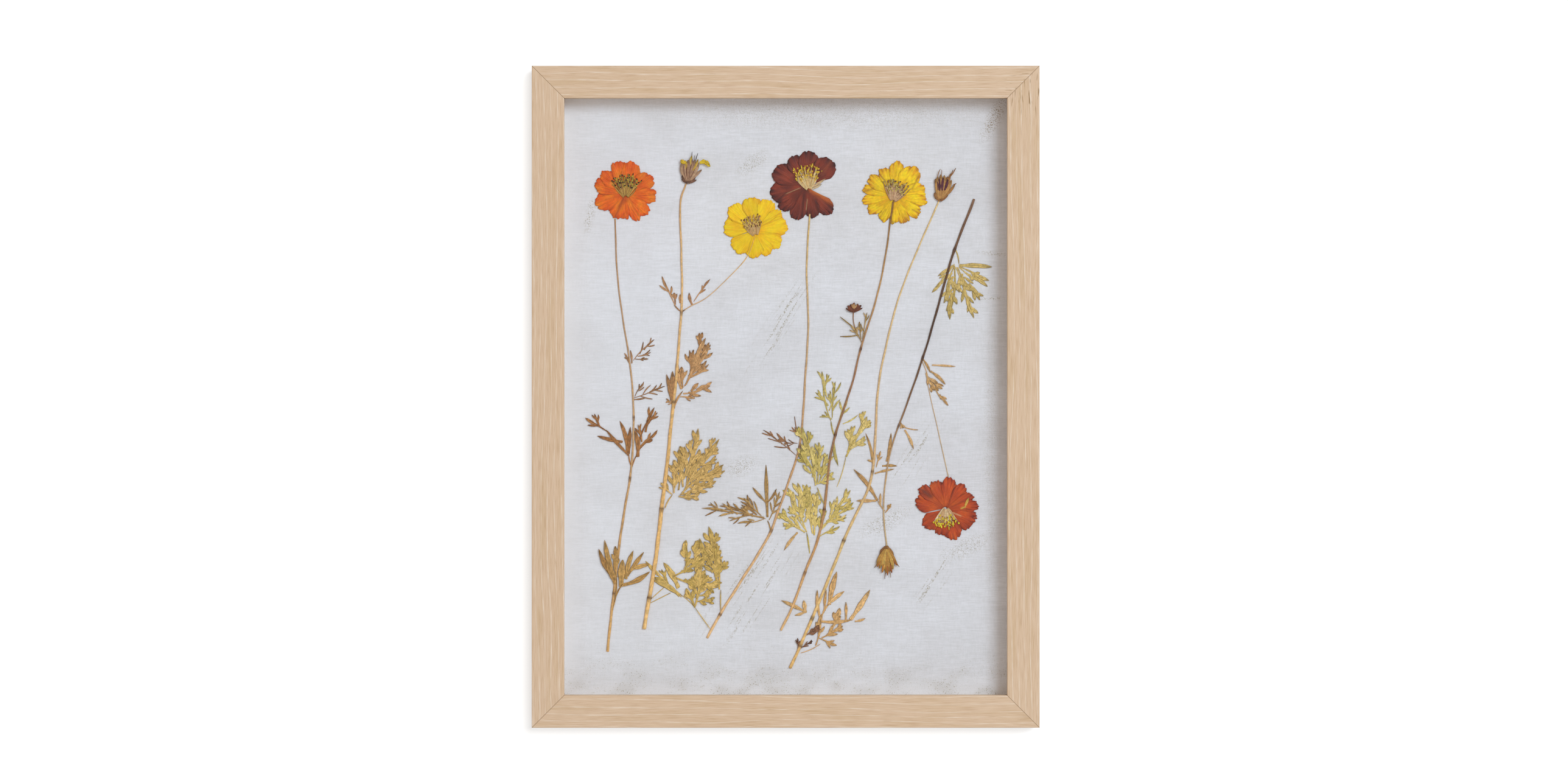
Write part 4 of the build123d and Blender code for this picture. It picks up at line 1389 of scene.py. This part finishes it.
for seed, (name, bloom) in enumerate(blooms.items()):
    petal = dried_plant("pressed_petal_" + name, (9.0, 0.10), 0.6, bloom["contrast"], 0.04)
    piece = make_piece(
        name + "_petals",
        *petal_fan(
            bloom["centre"],
            bloom["petals"],
            bloom["colours"],
            40 + seed,
            bloom["tooth"],
            bloom["rounding"],
            bloom["marks"],
        ),
    )
    skin = piece.modifiers.new("petal_thickness", "SOLIDIFY")
    skin.thickness = 0.10 * MM
    skin.offset = 0.0
    finish_piece(piece, petal, name + "_bloom")

    base, aim, spread, long = bloom["fan"]
    ribs = fan_rows(base, aim, spread, 24, (0.35 * long, 0.75 * long), 0.85, 60 + seed)
    tubes = fan_rows(base, aim, spread * 1.05, 34, (0.45 * long, 0.95 * long), 0.65, 80 + seed, 1.8)
    heads = tips_of(np.vstack([ribs[::3], tubes]), 1.3, 0.95, 90 + seed)
    dark = tips_of(heads[:: bloom["dark_every"]], 1.0, 0.75, 95 + seed)
    strewn = fan_rows(base, aim, spread * 0.9, 46, (0.40 * long, 0.95 * long), 0.7, 70 + seed, 1.5)
    bits = tips_of(strewn, 1.1, 0.9, 75 + seed)
    rib_colours, tube_colours, head_colours, dark_colours = bloom["floret_colours"]
    shapes = [
        lobes(ribs, rib_colours, 110 + seed, 0.62, 1.0, 0.30, 0.2),
        lobes(tubes, tube_colours, 130 + seed, 0.74, 1.0, 0.30, 0.2),
        lobes(heads, head_colours, 150 + seed, 0.88, 0.2, 0.35, 0.2),
        lobes(bits[::2], head_colours, 190 + seed, 0.95, 0.2, 0.3, 0.2),
        lobes(bits[1::2], (dark_colours[0], rib_colours[0]), 195 + seed, 0.95, 0.2, 0.3, 0.2),
        lobes(dark, dark_colours, 170 + seed, 1.00, 0.3, 0.35, 0.2),
    ]
    if "slivers" in bloom:
        shapes.append(lobes(bloom["slivers"][1], bloom["slivers"][0], 230 + seed, 0.62, 0.0, 0.2, 0.2))
    finish_piece(make_piece(name + "_florets", *gather(shapes)), florets_skin)

# Buds and seed heads. Cups of narrow papery bracts round the folded florets, with a few
# bristles; each was pressed side on.
buds = {
    "yellow": [
        (
            ("#6E4A38", "#9A6E54"), 0.7, 0.4, 0.6,
            [
                (-65, 142, -68.6, 147, 2.6), (-65, 142, -66, 148, 2.8), (-65, 142, -63, 148, 2.8),
                (-64.5, 142, -60, 146.5, 2.6), (-65, 141.2, -69, 144.2, 1.0), (-64.5, 141.4, -59, 143.8, 1.2),
            ],
        ),
        (
            ("#A87A5E", "#C9A07C"), 1.0, 0.45, 0.6,
            [
                (-66, 143.5, -69, 155, 2.6), (-65.6, 143, -67, 156.5, 2.6), (-65, 143, -64.6, 157, 2.8),
                (-64.6, 143, -62.4, 158.5, 2.6), (-64, 143, -60, 157, 2.6), (-63.5, 143.5, -57.6, 155, 2.4),
                (-63, 143.5, -55.6, 150.5, 1.8), (-64.4, 144, -61, 154, 1.2), (-66.4, 146, -67.8, 153, 0.9),
            ],
        ),
        (
            ("#7A4E40", "#8E6048"), 1.5, 0.9, 0.2,
            [
                (-66, 144, -67.8, 153, 0.5), (-65, 144, -65.4, 154, 0.5), (-64.2, 144, -62.6, 154, 0.5),
                (-63.4, 144, -59, 153, 0.5), (-63.6, 145, -60.6, 150, 0.4),
            ],
        ),
        (
            ("#C99A3E", "#E3BC4A"), 1.3, 0.5, 0.4,
            [(-63, 152, -62.2, 159.6, 1.6), (-61.6, 150, -58, 157.4, 1.5), (-66.2, 151, -66, 156, 1.4)],
        ),
        (
            ("#D9AE20", "#EDC82A"), 1.6, 0.1, 0.3,
            [
                (-66.8, 154.6, -69.6, 157, 2.4), (-67, 156.4, -66, 154.2, 2.0), (-57, 155, -52.4, 156, 2.6),
                (-55, 156.4, -50.4, 153.6, 2.6), (-53, 155.4, -50, 152.4, 1.9),
            ],
        ),
        (
            ("#3A2C20", "#5A4430"), 1.4, 1.0, 0.25,
            [(-62.6, 156, -62, 162.4, 0.4), (-60, 155, -58.2, 161.6, 0.4), (-60.6, 156, -60.4, 160, 0.3)],
        ),
    ],
    "golden": [
        (
            ("#6E3A24", "#9A5030"), 0.8, 0.3, 0.4,
            [
                (45, 56.4, 41, 60.4, 2.0), (45, 56.4, 43, 61.4, 2.2), (45.2, 56.4, 45.4, 62.4, 2.2),
                (45.4, 56.4, 48, 61.6, 2.2), (45.4, 56.4, 50.2, 60.6, 2.0), (45, 56, 39.8, 58.6, 1.3),
                (45.4, 56, 51, 58.8, 1.3),
            ],
        ),
        (
            ("#B98450", "#D9AC78"), 1.2, 0.5, 0.35,
            [(45, 58.4, 43.6, 61.4, 1.0), (45.2, 58.2, 45.4, 61.8, 1.1), (45.4, 58.4, 47.2, 61.2, 1.0)],
        ),
    ],
    "seedhead": [
        (
            ("#8E5A30", "#B57E48"), 0.7, 0.4, 0.6,
            [
                (
                    102.3, 129.8, 98.8, 135.4, 2.4
                ), (102.3, 129.6, 101.4, 136, 2.8), (102.5, 129.6, 104.6, 136, 2.8),
                (102.8, 129.8, 107.8, 134.6, 2.4), (102.4, 130.4, 103, 137, 2.6),
            ],
        ),
        (
            ("#A8703A", "#CC9656"), 1.0, 0.45, 0.6,
            [
                (101.6, 131, 99.2, 144.4, 2.4), (101.8, 131, 100.8, 146, 2.4), (102.4, 131, 103, 147.4, 2.6),
                (
                    102.8, 131, 105.2, 146.8, 2.6
                ), (103.2, 131, 107.6, 146, 2.6), (103.6, 131.4, 110, 143.6, 2.4),
                (104, 132, 112.4, 141, 1.6), (103.4, 134, 109.4, 148, 1.6),
            ],
        ),
        (
            ("#4E2230", "#6E3440"), 1.5, 0.6, 0.25,
            [
                (
                    102.2, 136.4, 101.8, 144.6, 1.7
                ), (103.8, 136.6, 104.6, 145, 1.7), (105.2, 136.8, 107.6, 144, 1.7),
                (101, 137, 100.4, 143, 0.9),
            ],
        ),
        (
            ("#8A5A34", "#B0763E"), 1.4, 1.0, 0.25,
            [
                (100.6, 144, 102.6, 151, 0.45), (
                    102.8, 146, 103.4, 150.6, 0.4
                ), (107, 144, 112.8, 151.6, 0.6),
                (108.4, 145, 111, 150.4, 0.5), (111, 140.4, 113.2, 141.4, 0.6),
            ],
        ),
    ],
    "russet": [
        (
            ("#8A5A30", "#A8743C"), 0.7, 0.3, 0.6,
            [
                (67, -99, 62.6, -105, 2.4), (67, -99, 65.2, -106, 2.8), (67, -99, 68.6, -106, 2.8),
                (67, -99, 71.6, -105, 2.4),
            ],
        ),
        (
            ("#BC8438", "#DEB058"), 1.0, 0.4, 0.6,
            [
                (66.4, -101, 60.4, -111.6, 2.3), (66.6, -101, 62.2, -114, 2.3), (66.8, -101, 64.4, -116, 2.4),
                (67, -101, 66.6, -117, 2.5), (67.2, -101, 69, -116, 2.4), (67.4, -101, 71.2, -114.6, 2.3),
                (67.6, -101, 73.8, -111.4, 2.2),
            ],
        ),
        (
            ("#A85E2A", "#C98038"), 1.5, 0.3, 0.3,
            [
                (63, -109, 60.6, -113, 1.2), (65, -111, 63.8, -117, 1.2), (69.4, -111, 70.4, -117, 1.3),
                (71.6, -108, 74.2, -112, 1.1), (67.2, -112, 67.4, -118.6, 1.1),
            ],
        ),
        (
            ("#7A4A28", "#A87A3A"), 1.4, 1.0, 0.25,
            [
                (66.4, -116, 65.8, -121, 0.4), (68.8, -115, 69.6, -120, 0.4), (61.4, -110, 58.8, -113.4, 0.4),
                (73.4, -110, 75.4, -113, 0.4),
            ],
        ),
    ],
}
for seed, (name, groups) in enumerate(buds.items()):
    shapes = [
        lobes(rows, colours, 210 + 12 * seed + k, lift, full, painted_bounce_light, 0.35)
        for k, (colours, lift, full, painted_bounce_light, rows) in enumerate(groups)
    ]
    finish_piece(make_piece(name + "_bud_head", *gather(shapes)), florets_skin, name + "_bud")

# Turn buttons. Stamped strips of bright spring steel on the back, one on the middle of each
# end rail and two on each side, swung across the hardboard and screwed down.
spring_steel = metal("bright_spring_steel", "#B4B4B6", 0.30, (3.0, 0.15), 0.10, 0.01)
for name in (
    "turn_button_top",
    "turn_button_bottom",
    "turn_button_upper_left",
    "turn_button_lower_left",
    "turn_button_upper_right",
    "turn_button_lower_right",
):
    paint(name, spring_steel)

# Screws. Cross-recessed pan heads in bright zinc plate, faintly warm; the bluish places of real zinc plate are
# not drawn.
zinc_plate = metal("bright_zinc_plate", "#C4BFB4", 0.26, (0.8, 0.5), 0.12)
paint("button_screws", zinc_plate)
paint("hanger_screws", zinc_plate)

# Ring hangers. Folded steel straps and bent wire rings, nickel plated: a soft warm mirror.
nickel_plate = metal("nickel_plate", "#C6C2BA", 0.18, (1.5, 0.6), 0.07)
for name in ("hanger_strap_left", "hanger_strap_right", "hanger_ring_left", "hanger_ring_right"):
    paint(name, nickel_plate)

# Bumpers. Domed self-adhesive pads of clear soft polyurethane on the lower corners.
material, tree, output = new_material("clear_polyurethane_rubber")
place = add(tree, "TexCoord").outputs["Object"]
dust = add(tree, "TexNoise", {"Vector": place, "Scale": 900.0, "Detail": 2.0})
milky = add(tree, "ValToRGB", {"Fac": dust.outputs["Fac"]}, stops=[(0.40, "#C9C8C0"), (0.60, "#DCDBD4")])
matt = add(tree, "MapRange", {"Value": dust.outputs["Fac"], "To Min": 0.32, "To Max": 0.5})
grip = add(tree, "Bump", {"Strength": 0.2, "Distance": 0.05 * MM, "Height": dust.outputs["Fac"]})
skin = add(
    tree,
    "BsdfPrincipled",
    {
        "Base Color": milky,
        "Roughness": matt,
        "IOR": 1.5,
        "Subsurface Weight": 0.15,
        "Subsurface Scale": 1.5 * MM,
        "Normal": grip,
    },
)
tree.links.new(skin.outputs[0], output.inputs[0])
paint("bumper_left", material)
paint("bumper_right", material)

# The studio. A white wall just behind the bumpers, seen only from in front, a pale floor well
# below, an even warm sky of light, one cool soft box high on the right, a weaker one behind,
# and a washer that lights the wall alone.


def plane(name, corners, material):
    """One flat four-cornered face of the studio."""
    mesh = bpy.data.meshes.new(name)
    mesh.from_pydata(corners, [], [(0, 1, 2, 3)])
    mesh.materials.append(material)
    made = bpy.data.objects.new(name, mesh)
    bpy.context.scene.collection.objects.link(made)
    return made


def soft_box(name, place, aim, size, power):
    """A rectangular lamp at a place, turned to face a point."""
    data = bpy.data.lights.new(name, "AREA")
    data.shape = "RECTANGLE"
    data.size, data.size_y = size
    data.energy = power
    lamp = bpy.data.objects.new(name, data)
    lamp.location = place
    lamp.rotation_mode = "QUATERNION"
    lamp.rotation_quaternion = (Vector(aim) - Vector(place)).to_track_quat("-Z", "Y")
    bpy.context.scene.collection.objects.link(lamp)
    return lamp


wall_paint, tree, output = new_material("white_wall_paint")
matt_white = add(tree, "BsdfDiffuse", {"Color": (0.30, 0.30, 0.30, 1.0)})
glow = add(tree, "Emission", {"Color": (1.0, 1.0, 1.0, 1.0), "Strength": 0.60})
both = add(tree, "AddShader", {0: matt_white, 1: glow})
through = add(tree, "BsdfTransparent")
side = add(tree, "NewGeometry")
seen = add(tree, "MixShader", {0: side.outputs["Backfacing"], 1: both, 2: through})
tree.links.new(seen.outputs[0], output.inputs[0])
wall = plane(
    "wall", [(-3, 0.0004, -0.9), (3, 0.0004, -0.9), (3, 0.0004, 2.6), (-3, 0.0004, 2.6)], wall_paint
)
wall.visible_shadow = False
wall.visible_diffuse = False
wall.visible_glossy = False
wall.visible_transmission = False
floor_paint, tree, output = new_material("pale_floor_paint")
matt_floor = add(tree, "BsdfDiffuse", {"Color": (0.80, 0.80, 0.80, 1.0)})
tree.links.new(matt_floor.outputs[0], output.inputs[0])
plane("floor", [(-4, -4, -0.9), (4, -4, -0.9), (4, 4, -0.9), (-4, 4, -0.9)], floor_paint)

key = soft_box("key_box", (1.79, -3.2, 1.28), (0, 0, 0), (1.62, 1.40), 64.0)
key.data.color = (0.86, 1.0, 1.14)
soft_box("back_box", (-1.2, 2.2, 1.2), (0, 0, 0), (1.2, 1.0), 26.0)
washer = soft_box("wall_washer", (0.38, -3.0, 0.30), (0, 0, 0), (0.60, 0.52), 92.0)
lit_by_washer = bpy.data.collections.new("lit_by_washer")
lit_by_washer.objects.link(wall)
washer.light_linking.receiver_collection = lit_by_washer
sky = bpy.data.worlds.new("even_sky")
sky.use_nodes = True
sky.node_tree.nodes["Background"].inputs["Color"].default_value = (1.0, 0.92, 0.84, 1.0)
sky.node_tree.nodes["Background"].inputs["Strength"].default_value = 0.635
scene = bpy.context.scene
scene.world = sky
scene.view_settings.view_transform = "Standard"
scene.view_settings.look = "None"

# The camera. A long lens straight in front, 2.5 m away, which takes in a 1.033 m wide field at
# the frame's face, so the inner walls show only as thin lines.
lens = bpy.data.cameras.new("camera")
lens.sensor_width = 36.0
lens.lens = 86.0
camera = bpy.data.objects.new("camera", lens)
camera.location = (-1.1 * MM, -2.5, 3.1 * MM)
camera.rotation_euler = (math.radians(90), 0, 0)
scene.collection.objects.link(camera)
scene.camera = camera
